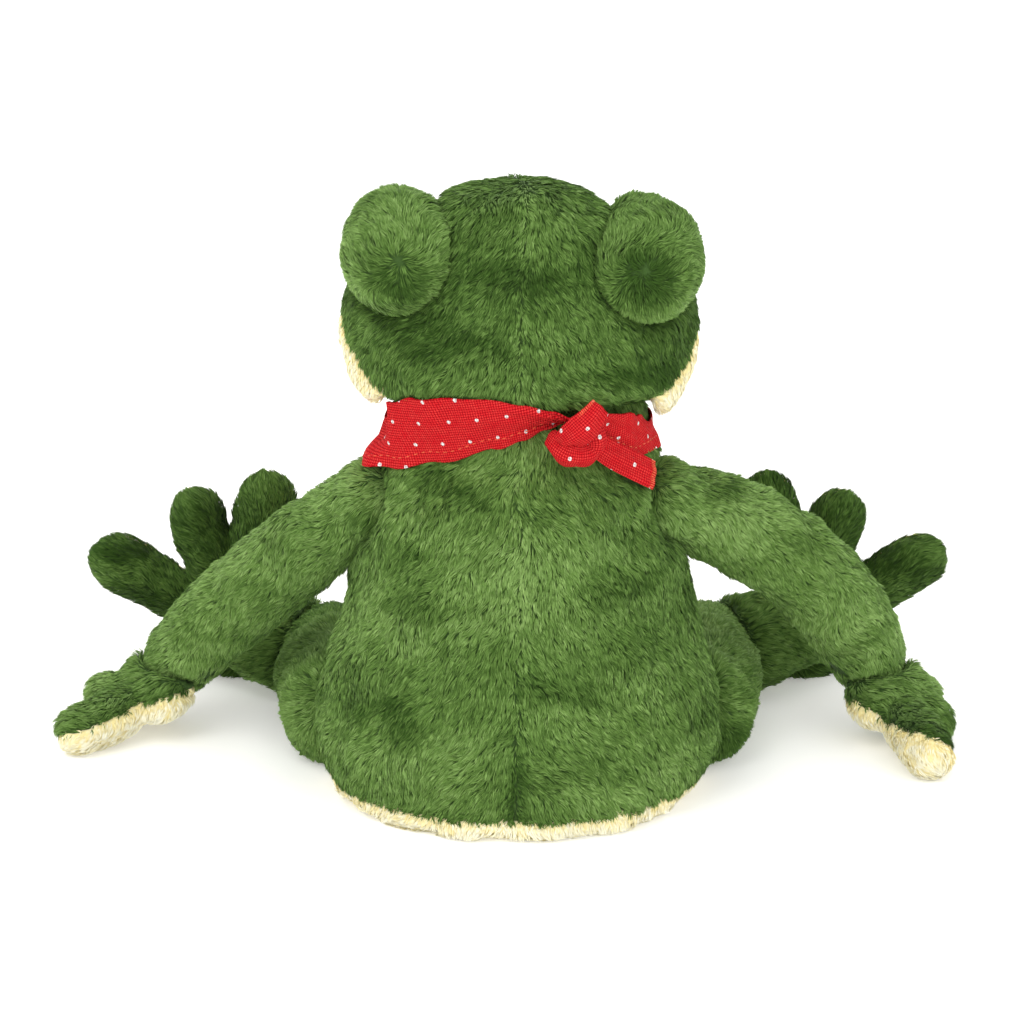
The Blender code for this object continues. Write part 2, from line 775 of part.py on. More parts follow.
def finger_form(start, turn, length):
    """One finger that slopes down to the ground plane at its tip."""
    reach = HAND_THICKNESS / 2
    along = Vector((math.cos(turn), math.sin(turn), -PALM_RISE / length)).normalized()
    stations = []
    for share, radius_share in DIGIT_RING_SHARES:
        size = reach * radius_share
        stations.append((start + along * (length * share), size, size))
    stations += round_end(start + along * length, along, reach, reach)
    return loft(tube_rings(stations), DIGIT_SIDES)


def palm_centre(side, wrist_point, palm):
    """Middle of a palm, raised above the level of the fingertips."""
    centre = wrist_point + mirrored(palm, side)
    centre.z = HAND_THICKNESS / 2 - FLAT_DEPTH + PALM_RISE
    return centre


def hand_form(side, wrist_point, palm, angles, shares):
    """A palm and its fingers, one closed form."""
    centre = palm_centre(side, wrist_point, palm)
    heel = (wrist_point + centre) / 2
    slope = (centre - wrist_point).normalized()
    high = HAND_THICKNESS / 2
    stations = [
        (wrist_point, WRIST_RADIUS, WRIST_RADIUS),
        (heel, (WRIST_RADIUS + PALM_WIDTH / 2) / 2, (WRIST_RADIUS + high) / 2),
        (centre, PALM_WIDTH / 2, high),
    ]
    flat = Vector((slope.x, slope.y, 0.0))
    stations += round_end(centre + flat.normalized() * FIT_GAP, flat, PALM_WIDTH / 2, high)[1:]
    form = loft(tube_rings(stations), LIMB_SIDES)
    for degrees, share in zip(angles, shares):
        turn = math.radians(degrees if side > 0 else 180.0 - degrees)
        join(form, finger_form(centre, turn, FINGER_LENGTH * share))
    return form


def palm_cutter(low, high, centre, onward, roll, slope):
    """A slab that parts the cream palm from the green back, sloped and rolled with the hand."""
    slab = box((-REACH, -REACH, low), (REACH, REACH, high))
    aside = UP.cross(onward)
    slab.data.transform(about(centre, onward, roll) @ about(centre, aside, slope))
    return slab


def build_arm(side, word, wrist, bow, arm_shares, palm, roll, angles, finger_shares):
    """One arm with its hand, hung on the shoulder and the wrist."""
    shoulder = shoulder_point(side)
    wrist_point = shoulder + mirrored(wrist, side)
    swing = Vector((0.0, -side, 0.0))
    arm = arm_form(side, wrist, bow, arm_shares, 0.0)
    clear_of(arm, trunk_form(-FIT_GAP), shoulder, swing, ARM_LIFT, SHOULDER_STEPS)
    join(arm, pivot_ball(shoulder, SHOULDER_BALL, FORWARD))
    hand = hand_form(side, wrist_point, palm, angles, finger_shares)
    cut(hand, socket(wrist_point, WRIST_RADIUS))
    carrier = arm_form(side, wrist, bow, arm_shares, FIT_GAP)
    clear_of(hand, carrier, wrist_point, swing, HAND_LIFT, KNEE_STEPS)
    inner = copy_of(hand)
    centre = palm_centre(side, wrist_point, palm)
    turn = math.radians(angles[0])
    onward = Vector((math.cos(turn), side * math.sin(turn), 0.0))
    slope = math.atan(PALM_RISE / (FINGER_LENGTH * finger_shares[0]))
    cut(hand, palm_cutter(-REACH, centre.z + FIT_GAP / 2, centre, onward, roll, slope))
    cut(inner, palm_cutter(centre.z - FIT_GAP / 2, REACH, centre, onward, roll, slope))
    rest_flat(hand, inner)
    finished(word + "_arm", arm, GREEN, PILE_ROUGHNESS)
    finished(word + "_hand_back", hand, GREEN, PILE_ROUGHNESS)
    finished(word + "_palm", inner, CREAM, PILE_ROUGHNESS)
    shoulder_empty = joint_empty(word + "_shoulder_joint", shoulder)
    wrist_empty = joint_empty(word + "_wrist_joint", wrist_point, shoulder_empty)
    hang_on(shoulder_empty, arm)
    hang_on(wrist_empty, hand, inner)


# Legs

def hip_point(side):
    """Middle of a hip's ball."""
    spread = BODY_WIDTH / 2 * HIP_SPREAD_SHARE
    return Vector((side * spread, -HIP_FORWARD, THIGH_RADIUS - FLAT_DEPTH))


def knee_point(side):
    """Middle of the thigh's round end."""
    place = hip_point(side) + Vector((side * THIGH_OUT, -THIGH_FORWARD, 0.0))
    place.z = KNEE_RADIUS - FLAT_DEPTH
    return place


def ankle_point(side):
    """Middle of the shin's round end."""
    place = knee_point(side) + Vector((side * SHIN_OUT, -SHIN_FORWARD, 0.0))
    place.z = ANKLE_HEIGHT
    return place


def thigh_form(side, grown):
    """A thigh from inside the hip to the knee."""
    shares = THIGH_RING_SHARES
    ends = (hip_point(side), knee_point(side))
    return limb(*ends, shares, THIGH_RADIUS, KNEE_RADIUS, Vector(), grown)


def shin_form(side, grown):
    """A shin from inside the knee to the ankle."""
    shares = SHIN_RING_SHARES
    ends = (knee_point(side), ankle_point(side))
    return limb(*ends, shares, SHIN_RADIUS, ANKLE_RADIUS, Vector(), grown)


def toe_form(start, turn, length):
    """One toe of a foot that stands on its heel."""
    along = Vector((math.sin(turn), 0.0, math.cos(turn)))
    stations = []
    for share, radius_share in DIGIT_RING_SHARES:
        size = TOE_RADIUS * radius_share
        stations.append((start + along * (length * share), size, size))
    stations += round_end(start + along * length, along, TOE_RADIUS, TOE_RADIUS)
    return loft(tube_rings(stations), DIGIT_SIDES)


def foot_form(side):
    """A foot pad and its toes, one closed form, standing on the heel."""
    middle = ankle_point(side) + FORWARD * FOOT_FORWARD
    middle.z = FOOT_HEIGHT / 2 - FLAT_DEPTH
    form = ball(middle, (FOOT_WIDTH / 2, FOOT_THICKNESS / 2, FOOT_HEIGHT / 2), LIMB_SIDES)
    for degrees, share in zip(TOE_ANGLES, TOE_SHARES):
        join(form, toe_form(middle, side * math.radians(degrees), TOE_LENGTH * share))
    return form


def build_leg(side, word):
    """One leg with its foot, hung on hip, knee and ankle."""
    hip, knee, ankle = hip_point(side), knee_point(side), ankle_point(side)
    inward = Vector((0.0, 0.0, -side))
    thigh = thigh_form(side, 0.0)
    clear_of(thigh, trunk_form(-FIT_GAP), hip, inward, THIGH_SWING, HIP_STEPS)
    join(thigh, pivot_ball(hip, HIP_BALL, UP))
    shin = shin_form(side, 0.0)
    cut(shin, socket(knee, KNEE_RADIUS))
    clear_of(shin, thigh_form(side, FIT_GAP), knee, inward, SHIN_SWING, KNEE_STEPS)
    foot = foot_form(side)
    cut(foot, socket(ankle, ANKLE_RADIUS))
    clear_of(foot, shin_form(side, FIT_GAP), ankle, Vector((1.0, 0.0, 0.0)), FOOT_TIP, KNEE_STEPS)
    sole = copy_of(foot)
    parting = ankle.y - FOOT_FORWARD
    cut(foot, box((-REACH, -REACH, -REACH), (REACH, parting + FIT_GAP / 2, REACH)))
    cut(sole, box((-REACH, parting - FIT_GAP / 2, -REACH), (REACH, REACH, REACH)))
    rest_flat(thigh, shin, foot, sole)
    finished(word + "_thigh", thigh, GREEN, PILE_ROUGHNESS)
    finished(word + "_shin", shin, GREEN, PILE_ROUGHNESS)
    finished(word + "_foot_back", foot, GREEN, PILE_ROUGHNESS)
    finished(word + "_sole", sole, CREAM, PILE_ROUGHNESS)
    hip_empty = joint_empty(word + "_hip_joint", hip)
    knee_empty = joint_empty(word + "_knee_joint", knee, hip_empty)
    ankle_empty = joint_empty(word + "_ankle_joint", ankle, knee_empty)
    hang_on(hip_empty, thigh)
    hang_on(knee_empty, shin)
    hang_on(ankle_empty, foot, sole)


# Kerchief

def tree_of(obj):
    """A search tree of a solid's surface."""
    bm = bmesh.new()
    bm.from_mesh(obj.data)
    tree = BVHTree.FromBMesh(bm)
    bm.free()
    return tree


def round_neck(turn):
    """The level direction at a turn to the left, counted from the knot."""
    angle = turn - KNOT_TURN
    return Vector((math.sin(angle), math.cos(angle), 0.0))


def hem_share(turn_share):
    """Height share of the kerchief's lower edge at a share of the full turn."""
    for (start, low), (end, high) in zip(KERCHIEF_HEM_SHARES, KERCHIEF_HEM_SHARES[1:]):
        if start <= turn_share <= end:
            part = (turn_share - start) / (end - start)
            smooth = (1 - math.cos(math.pi * part)) / 2
            return low + (high - low) * smooth
    return KERCHIEF_HEM_SHARES[-1][1]


def cloth_point(tree, turn_share, height, lift):
    """A point at a distance outside the trunk, or straight above the neck's edge."""
    direction = round_neck(math.tau * turn_share)
    level = min(height, NECK_HEIGHT)
    hit = tree.ray_cast(direction * BODY_WIDTH + UP * level, -direction)[0]
    return hit + direction * lift + UP * (height - level)


def knot_form(centre, grown):
    """The knot, a ball drawn out from the neck."""
    across = KNOT_RADIUS + grown
    form = ball(Vector(), (across, KNOT_DEPTH / 2 + grown, across), LIMB_SIDES)
    form.data.transform(Matrix.Translation(centre) @ Matrix.Rotation(KNOT_TURN, 4, UP))
    return form


def tail_form(tree, shares, skin):
    """A folded cloth end, flat against the neck, along a path of shares."""
    stations = []
    for turn_share, height_share, out_share, width_share in shares:
        out = skin + TAIL_THICKNESS / 2 + KNOT_DEPTH * out_share
        point = cloth_point(tree, turn_share, KERCHIEF_TOP * height_share, out)
        stations.append((point, TAIL_WIDTH / 2 * width_share))
    rings = []
    points = [point for point, width in stations]
    for index, (point, half_width) in enumerate(stations):
        after = points[min(index + 1, len(points) - 1)]
        before = points[max(index - 1, 0)]
        outward = Vector((point.x, point.y, 0.0)).normalized()
        across = (after - before).cross(outward).normalized()
        rise = (after - before).cross(across).normalized()
        rings.append(ring_matrix(point, across, rise, half_width, TAIL_THICKNESS / 2))
    return loft(rings, LIMB_SIDES)


def cloth_form(tree):
    """The cloth round the neck with its corner on the chest."""
    bm = bmesh.new()
    bmesh.ops.create_grid(bm, x_segments=CLOTH_COLUMNS, y_segments=CLOTH_ROWS, size=1.0)
    for vert in bm.verts:
        turn_share = (vert.co.x + 1) / 2
        rise_share = (vert.co.y + 1) / 2
        hem = KERCHIEF_TOP * hem_share(turn_share)
        height = hem + (KERCHIEF_TOP - hem) * rise_share
        vert.co = cloth_point(tree, turn_share, height, CLOTH_LIFT)
    bmesh.ops.remove_doubles(bm, verts=bm.verts, dist=FIT_GAP / TURNED_STEPS)
    bmesh.ops.recalc_face_normals(bm, faces=bm.faces)
    cloth = mesh_object("cloth", bm)
    wall = cloth.modifiers.new("wall", "SOLIDIFY")
    wall.thickness = CLOTH_THICKNESS
    wall.offset = 1.0
    return settle(cloth)


def build_kerchief():
    """The cloth, the knot and both tails."""
    trunk = trunk_form(0.0)
    tree = tree_of(trunk)
    bpy.data.objects.remove(trunk, do_unlink=True)
    skin = CLOTH_LIFT + CLOTH_THICKNESS + FIT_GAP + FIT_GAP
    centre = cloth_point(tree, 0.0, KNOT_HEIGHT, skin + KNOT_DEPTH / 2)
    upper = cut(tail_form(tree, UPPER_TAIL_SHARES, skin), knot_form(centre, FIT_GAP))
    lower = cut(tail_form(tree, LOWER_TAIL_SHARES, skin), knot_form(centre, FIT_GAP))
    finished("kerchief", cloth_form(tree), RED, CLOTH_ROUGHNESS)
    finished("kerchief_knot", knot_form(centre, 0.0), RED, CLOTH_ROUGHNESS)
    finished("kerchief_tail_upper", upper, RED, CLOTH_ROUGHNESS)
    finished("kerchief_tail_lower", lower, RED, CLOTH_ROUGHNESS)


clear_scene()
FROG = new_collection("plush_frog")
WORK = new_collection("work")
build_trunk()
build_head()
build_arm(1, "left", LEFT_WRIST, LEFT_ARM_BOW, LEFT_ARM_RING_SHARES, LEFT_PALM,
          LEFT_PALM_ROLL, LEFT_FINGER_ANGLES, LEFT_FINGER_SHARES)
build_arm(-1, "right", RIGHT_WRIST, RIGHT_ARM_BOW, RIGHT_ARM_RING_SHARES, RIGHT_PALM,
          RIGHT_PALM_ROLL, RIGHT_FINGER_ANGLES, RIGHT_FINGER_SHARES)
build_leg(1, "left")
build_leg(-1, "right")
build_kerchief()
bpy.data.collections.remove(WORK)
bpy.context.view_layer.update()
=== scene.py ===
"""Dresses the plush frog: skins, pile, kerchief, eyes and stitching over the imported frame."""

import json
import logging
import math
from dataclasses import dataclass, field
from enum import Enum
from typing import Callable

import bmesh
import bpy
import numpy as np
from mathutils import Matrix, Vector
from mathutils.bvhtree import BVHTree
from mathutils.kdtree import KDTree


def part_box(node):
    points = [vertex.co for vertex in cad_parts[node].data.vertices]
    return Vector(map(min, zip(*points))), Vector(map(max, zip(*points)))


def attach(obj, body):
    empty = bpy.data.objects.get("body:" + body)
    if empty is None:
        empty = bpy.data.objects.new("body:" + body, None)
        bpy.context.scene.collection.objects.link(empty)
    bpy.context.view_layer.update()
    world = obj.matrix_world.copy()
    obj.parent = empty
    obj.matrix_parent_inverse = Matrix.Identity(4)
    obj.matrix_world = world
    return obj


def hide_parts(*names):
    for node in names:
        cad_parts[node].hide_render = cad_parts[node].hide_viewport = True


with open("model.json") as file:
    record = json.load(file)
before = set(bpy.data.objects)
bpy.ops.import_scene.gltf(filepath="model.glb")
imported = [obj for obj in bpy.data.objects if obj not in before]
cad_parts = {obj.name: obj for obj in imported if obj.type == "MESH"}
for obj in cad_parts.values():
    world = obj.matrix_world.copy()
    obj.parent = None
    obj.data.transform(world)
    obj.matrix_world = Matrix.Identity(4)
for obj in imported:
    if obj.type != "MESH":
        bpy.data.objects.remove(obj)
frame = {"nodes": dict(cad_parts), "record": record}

logging.basicConfig(level=logging.INFO, format="%(message)s")
LOG = logging.getLogger("plush_frog")

MM = 0.001
UP = Vector((0.0, 0.0, 1.0))
REAR = Vector((0.0, 1.0, 0.0))
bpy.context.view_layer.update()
TINY = 1e-12
MERGE = 0.01 * MM
PLAIN_PITCH = 0.7 * MM
STRETCH_SHARES = (0.7, 1.4)
Field = Callable[[np.ndarray], np.ndarray]
Colour = tuple[float, float, float, float]
Mesh = bpy.types.Mesh
Object = bpy.types.Object
Material = bpy.types.Material
Socket = bpy.types.NodeSocket
Tree = bpy.types.NodeTree


class Side(Enum):
    """A side of the frog, with the sign of its X."""

    LEFT = 1
    RIGHT = -1

    @property
    def word(self) -> str:
        """The side's name as it stands in the names of nodes and bodies."""
        return self.name.lower()


class Cloth(Enum):
    """The plush cloths that the frog is sewn from."""

    GREEN = "green_plush"
    CREAM = "cream_plush"


# Small tools

def joint_place(name: str) -> Vector:
    """Read a joint's pivot from the frame.

    Args:
        name: The joint's name.

    Returns:
        The pivot at rest, in metres.
    """
    for joint in frame["record"]["behaviour"]["joints"]:
        if joint["name"] == name:
            return Vector(joint["pos_m"])
    raise KeyError(name)


def unit(vectors: np.ndarray) -> np.ndarray:
    """Scale rows to length one.

    Args:
        vectors: One vector a row.

    Returns:
        The same directions with length one.
    """
    lengths = np.linalg.norm(vectors, axis=1, keepdims=True)
    return vectors / np.maximum(lengths, TINY)


def ripples(points: np.ndarray, wavelength: float, seed: int, waves: int = 9) -> np.ndarray:
    """A smooth field of soft hills, the same at every run.

    Args:
        points: Places, one a row.
        wavelength: Typical distance from hill to hill, in metres.
        seed: Chooses the hills.
        waves: How many waves are summed.

    Returns:
        A value from about -1 to 1 for each place.
    """
    chance = np.random.default_rng(seed)
    ways = unit(chance.normal(size=(waves, 3)))
    stretch = chance.uniform(*STRETCH_SHARES, size=waves)
    phases = chance.uniform(0.0, math.tau, size=waves)
    turns = points @ (ways * (math.tau / wavelength * stretch)[:, None]).T + phases
    return np.sin(turns).sum(axis=1) / math.sqrt(waves)


def new_object(name: str, mesh: Mesh) -> Object:
    """Link a mesh to the scene.

    Args:
        name: The piece's name.
        mesh: Its mesh, in the row frame.

    Returns:
        The new object.
    """
    obj = bpy.data.objects.new(name, mesh)
    bpy.context.scene.collection.objects.link(obj)
    return obj


def object_of(name: str, bm: bmesh.types.BMesh) -> Object:
    """Turn a bmesh into an object and free it.

    Args:
        name: The piece's name.
        bm: Its shape, in the row frame.

    Returns:
        The new object.
    """
    mesh = bpy.data.meshes.new(name)
    bm.to_mesh(mesh)
    bm.free()
    return new_object(name, mesh)


def with_modifiers(obj: Object) -> Object:
    """Apply an object's modifiers.

    Args:
        obj: The object.

    Returns:
        The same object with its evaluated mesh.
    """
    graph = bpy.context.evaluated_depsgraph_get()
    mesh = bpy.data.meshes.new_from_object(obj.evaluated_get(graph))
    obj.modifiers.clear()
    obj.data = mesh
    return obj


def dress(obj: Object, material: Material, body: str) -> None:
    """Give a piece its finish and the body that it moves with.

    Args:
        obj: The piece.
        material: Its material.
        body: The frame's body.
    """
    obj.data.materials.clear()
    obj.data.materials.append(material)
    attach(obj, body)
    LOG.info("%s: %d faces on %s", obj.name, len(obj.data.polygons), body)


def tree_of(*meshes: Mesh) -> BVHTree:
    """Make one search tree of meshes.

    Args:
        meshes: The meshes, in the row frame.

    Returns:
        Their tree.
    """
    bm = bmesh.new()
    for mesh in meshes:
        bm.from_mesh(mesh)
    tree = BVHTree.FromBMesh(bm)
    bm.free()
    return tree


def add_stitch(bm: bmesh.types.BMesh, start: Vector, end: Vector, half_length: float,
               half_thick: float, facets: tuple[int, int] = (6, 4)) -> None:
    """Add one rounded stitch between two places.

    Args:
        bm: The piece's shape so far.
        start: Where the stitch starts.
        end: Where it ends.
        half_length: Half its length.
        half_thick: Half its thickness.
        facets: Its facets round and along.
    """
    turn = (end - start).to_track_quat("X", "Z").to_matrix().to_4x4()
    size = Matrix.Diagonal((half_length, half_thick, half_thick, 1.0))
    place = Matrix.Translation((start + end) / 2)
    bmesh.ops.create_uvsphere(bm, u_segments=facets[0], v_segments=facets[1], radius=1.0,
                              matrix=place @ turn @ size)


# Shader node groups and finishes

def new_group(name: str, inputs: dict[str, float | Colour], outputs: dict[str, str]
              ) -> tuple[Tree, bpy.types.Node, bpy.types.Node]:
    """Start a shader node group.

    Args:
        name: The group's name.
        inputs: Each input's name and default value.
        outputs: Each output's name and socket type.

    Returns:
        The group's tree, its input node and its output node.
    """
    tree = bpy.data.node_groups.new(name, "ShaderNodeTree")
    for label, value in inputs.items():
        kind = "NodeSocketFloat" if isinstance(value, float) else "NodeSocketColor"
        socket = tree.interface.new_socket(label, in_out="INPUT", socket_type=kind)
        socket.default_value = value
    for label, kind in outputs.items():
        tree.interface.new_socket(label, in_out="OUTPUT", socket_type=kind)
    return tree, tree.nodes.new("NodeGroupInput"), tree.nodes.new("NodeGroupOutput")


def math_node(tree: Tree, operation: str, *values: float | Socket) -> Socket:
    """Add a Math node.

    Args:
        tree: The tree to add it to.
        operation: The node's operation.
        values: Its inputs, each a number or a socket.

    Returns:
        The node's output.
    """
    node = tree.nodes.new("ShaderNodeMath")
    node.operation = operation
    for socket, value in zip(node.inputs, values):
        if isinstance(value, Socket):
            tree.links.new(value, socket)
        else:
            socket.default_value = value
    return node.outputs[0]


def mix_node(tree: Tree, factor: float | Socket, first: Colour | Socket,
             second: Colour | Socket) -> Socket:
    """Add a colour Mix node.

    Args:
        tree: The tree to add it to.
        factor: The share of the second colour.
        first: The first colour.
        second: The second colour.

    Returns:
        The mixed colour's socket.
    """
    node = tree.nodes.new("ShaderNodeMix")
    node.data_type = "RGBA"
    for socket, value in ((node.inputs[0], factor), (node.inputs[6], first), (node.inputs[7], second)):
        if isinstance(value, Socket):
            tree.links.new(value, socket)
        else:
            socket.default_value = value
    return node.outputs[2]


def noise_node(tree: Tree, scale: float, detail: float = 2.0) -> Socket:
    """Add a Noise texture on Object coordinates.

    Args:
        tree: The tree to add it to.
        scale: The noise's scale, per metre.
        detail: Its octaves.

    Returns:
        The noise's value.
    """
    place = tree.nodes.new("ShaderNodeTexCoord")
    node = tree.nodes.new("ShaderNodeTexNoise")
    node.inputs["Scale"].default_value = scale
    node.inputs["Detail"].default_value = detail
    tree.links.new(place.outputs["Object"], node.inputs["Vector"])
    return node.outputs["Fac"]


def range_node(tree: Tree, value: Socket, low: float, high: float, start: float = 0.0,
               end: float = 1.0) -> Socket:
    """Add a clamped Map Range node.

    Args:
        tree: The tree to add it to.
        value: The value's socket.
        low: The value that gives `start`.
        high: The value that gives `end`.
        start: The result at `low`.
        end: The result at `high`.

    Returns:
        The result's socket.
    """
    node = tree.nodes.new("ShaderNodeMapRange")
    tree.links.new(value, node.inputs[0])
    for socket, number in zip(node.inputs[1:5], (low, high, start, end)):
        socket.default_value = number
    return node.outputs[0]


def attribute_node(tree: Tree, name: str) -> Socket:
    """Read one of the mesh's own attributes.

    Args:
        tree: The tree to add the node to.
        name: The attribute's name.

    Returns:
        Its value.
    """
    node = tree.nodes.new("ShaderNodeAttribute")
    node.attribute_name = name
    return node.outputs["Fac"]


def flat_map(tree: Tree) -> tuple[Socket, Socket]:
    """Read the cloth's own flat map.

    Args:
        tree: The tree to add the nodes to.

    Returns:
        The places across and along, in metres.
    """
    flat = tree.nodes.new("ShaderNodeUVMap")
    flat.uv_map = "flat"
    parts = tree.nodes.new("ShaderNodeSeparateXYZ")
    tree.links.new(flat.outputs[0], parts.inputs[0])
    return parts.outputs[0], parts.outputs[1]


def surface(name: str) -> tuple[Material, Tree, bpy.types.Node]:
    """Start a material.

    Args:
        name: The material's name.

    Returns:
        The material, its tree and its Principled shader.
    """
    material = bpy.data.materials.new(name)
    material.use_nodes = True
    return material, material.node_tree, material.node_tree.nodes["Principled BSDF"]


def bump(tree: Tree, shader: bpy.types.Node, height: Socket, distance: float) -> None:
    """Roughen a shader's normal by a height.

    Args:
        tree: The material's tree.
        shader: Its Principled shader.
        height: The height's socket, from 0 to 1.
        distance: The real height of 1, in metres.
    """
    node = tree.nodes.new("ShaderNodeBump")
    node.inputs["Distance"].default_value = distance
    node.inputs["Strength"].default_value = 1.0
    tree.links.new(height, node.inputs["Height"])
    tree.links.new(node.outputs["Normal"], shader.inputs["Normal"])


def pile_tone_group() -> Tree:
    """Build the group that colours a strand by its tone from root to tip, with painted shade in the
    root colour near the root.

    Returns:
        The group.
    """
    names = ("Root", "Dark", "Middle", "Light")
    tree, given, result = new_group(
        "pile_tone", {name: (0.0, 0.0, 0.0, 1.0) for name in names}, {"Colour": "NodeSocketColor"})
    along = attribute_node(tree, "along")
    tone = attribute_node(tree, "tone")
    lower = range_node(tree, tone, 0.0, 0.5)
    upper = range_node(tree, tone, 0.5, 1.0)
    colour = mix_node(tree, lower, given.outputs["Dark"], given.outputs["Middle"])
    colour = mix_node(tree, upper, colour, given.outputs["Light"])
    # Near the root the strand takes the root colour: painted shade among the roots.
    rise = range_node(tree, along, 0.0, 0.6)
    colour = mix_node(tree, rise, given.outputs["Root"], colour)
    tree.links.new(colour, result.inputs["Colour"])
    return tree


def weave_group() -> Tree:
    """Build the group for a plain weave on the cloth's own flat map.

    Returns:
        The group.
    """
    tree, given, result = new_group(
        "plain_weave", {"Thread Pitch": PLAIN_PITCH, "Slub": 0.3},
        {"Height": "NodeSocketFloat", "Gap": "NodeSocketFloat"})
    side, length = flat_map(tree)
    turn = math_node(tree, "DIVIDE", math.pi, given.outputs["Thread Pitch"])
    wander = math_node(tree, "MULTIPLY", noise_node(tree, 420.0, 2.0), given.outputs["Slub"])
    across = math_node(tree, "ADD", math_node(tree, "MULTIPLY", side, turn), wander)
    along = math_node(tree, "ADD", math_node(tree, "MULTIPLY", length, turn), wander)
    across, along = math_node(tree, "SINE", across), math_node(tree, "SINE", along)
    warp, weft = math_node(tree, "ABSOLUTE", across), math_node(tree, "ABSOLUTE", along)
    over = math_node(tree, "MULTIPLY", across, along)
    chosen = math_node(tree, "GREATER_THAN", over, 0.0)
    other = math_node(tree, "SUBTRACT", 1.0, chosen)
    height = math_node(tree, "ADD", math_node(tree, "MULTIPLY", warp, chosen),
                       math_node(tree, "MULTIPLY", weft, other))
    tree.links.new(height, result.inputs["Height"])
    gap = range_node(tree, math_node(tree, "MINIMUM", warp, weft), 0.0, 0.45, 1.0, 0.0)
    tree.links.new(gap, result.inputs["Gap"])
    return tree


@dataclass(frozen=True)
class PlushFinish:
    """A plush cloth: a woven backing that hardly shows and the pile on it.

    The colours are linear. The root colour, which the strands take near their roots and the backing
    wears too, is painted shade among the roots.
    """

    cloth: Cloth
    root: Colour
    dark: Colour
    middle: Colour
    light: Colour
    length: float = 4.4 * MM
    width: float = 0.42 * MM
    per_square_mm: float = 4.2
    lock: int = 12
    lift: float = math.radians(20.0)
    # Tone shift along seams high up and low down: painted seam shade where negative, painted light
    # where positive.
    painted_seam_tone: float = 0.14
    painted_seam_tone_low: float = -0.30
    # Share of the painted light and shade that the cloth takes: nap marks, ruffle shade and the form's
    # tone shift.
    painted_light_share: float = 1.0
    relief: float = 0.4 * MM

    def skin(self) -> Material:
        """Make the backing's material, in the root colours, which paint the shade in the gaps between
        strands.

        Returns:
            The material.
        """
        material, tree, shader = surface(self.cloth.value + "_backing")
        shade = range_node(tree, noise_node(tree, 90.0, 3.0), 0.35, 0.65)
        # The backing wears the dark root colours: painted shade in the gaps between strands.
        colour = mix_node(tree, shade, self.root, self.dark)
        tree.links.new(colour, shader.inputs["Base Color"])
        rough = range_node(tree, noise_node(tree, 500.0, 2.0), 0.3, 0.7, 0.88, 1.0)
        tree.links.new(rough, shader.inputs["Roughness"])
        bump(tree, shader, noise_node(tree, 900.0, 4.0), self.relief)
        return material

    def pile(self, group: Tree) -> Material:
        """Make the pile's material.

        Args:
            group: The group that shades a strand.

        Returns:
            The material.
        """
        material, tree, shader = surface(self.cloth.value + "_pile")
        shades = tree.nodes.new("ShaderNodeGroup")
        shades.node_tree = group
        values = {"Root": self.root, "Dark": self.dark, "Middle": self.middle,
                  "Light": self.light}
        for label, value in values.items():
            shades.inputs[label].default_value = value
        tree.links.new(shades.outputs["Colour"], shader.inputs["Base Color"])
        rough = range_node(tree, attribute_node(tree, "tone"), 0.0, 1.0, 0.80, 0.62)
        tree.links.new(rough, shader.inputs["Roughness"])
        shader.inputs["Sheen Weight"].default_value = 0.05
        shader.inputs["Sheen Roughness"].default_value = 0.5
        shader.inputs["Specular IOR Level"].default_value = 0.14
        return material


GREEN_PLUSH = PlushFinish(
    cloth=Cloth.GREEN,
    # root: painted shade among the roots and on the backing.
    root=(0.028, 0.068, 0.008, 1.0),
    dark=(0.036, 0.086, 0.010, 1.0),
    middle=(0.128, 0.238, 0.047, 1.0),
    light=(0.275, 0.430, 0.125, 1.0),
)
CREAM_PLUSH = PlushFinish(
    cloth=Cloth.CREAM,
    # root: a yellower, darker cream, painted shade among the roots and on the backing.
    root=(0.930, 0.830, 0.480, 1.0),
    dark=(0.940, 0.830, 0.420, 1.0),
    middle=(0.960, 0.930, 0.740, 1.0),
    light=(0.980, 0.965, 0.870, 1.0),
    length=3.4 * MM,
    per_square_mm=3.3,
    width=0.44 * MM,
    lift=math.radians(17.0),
    # Painted seam shade, high up and low down.
    painted_seam_tone=-0.45,
    painted_seam_tone_low=-0.35,
    painted_light_share=0.35,
)


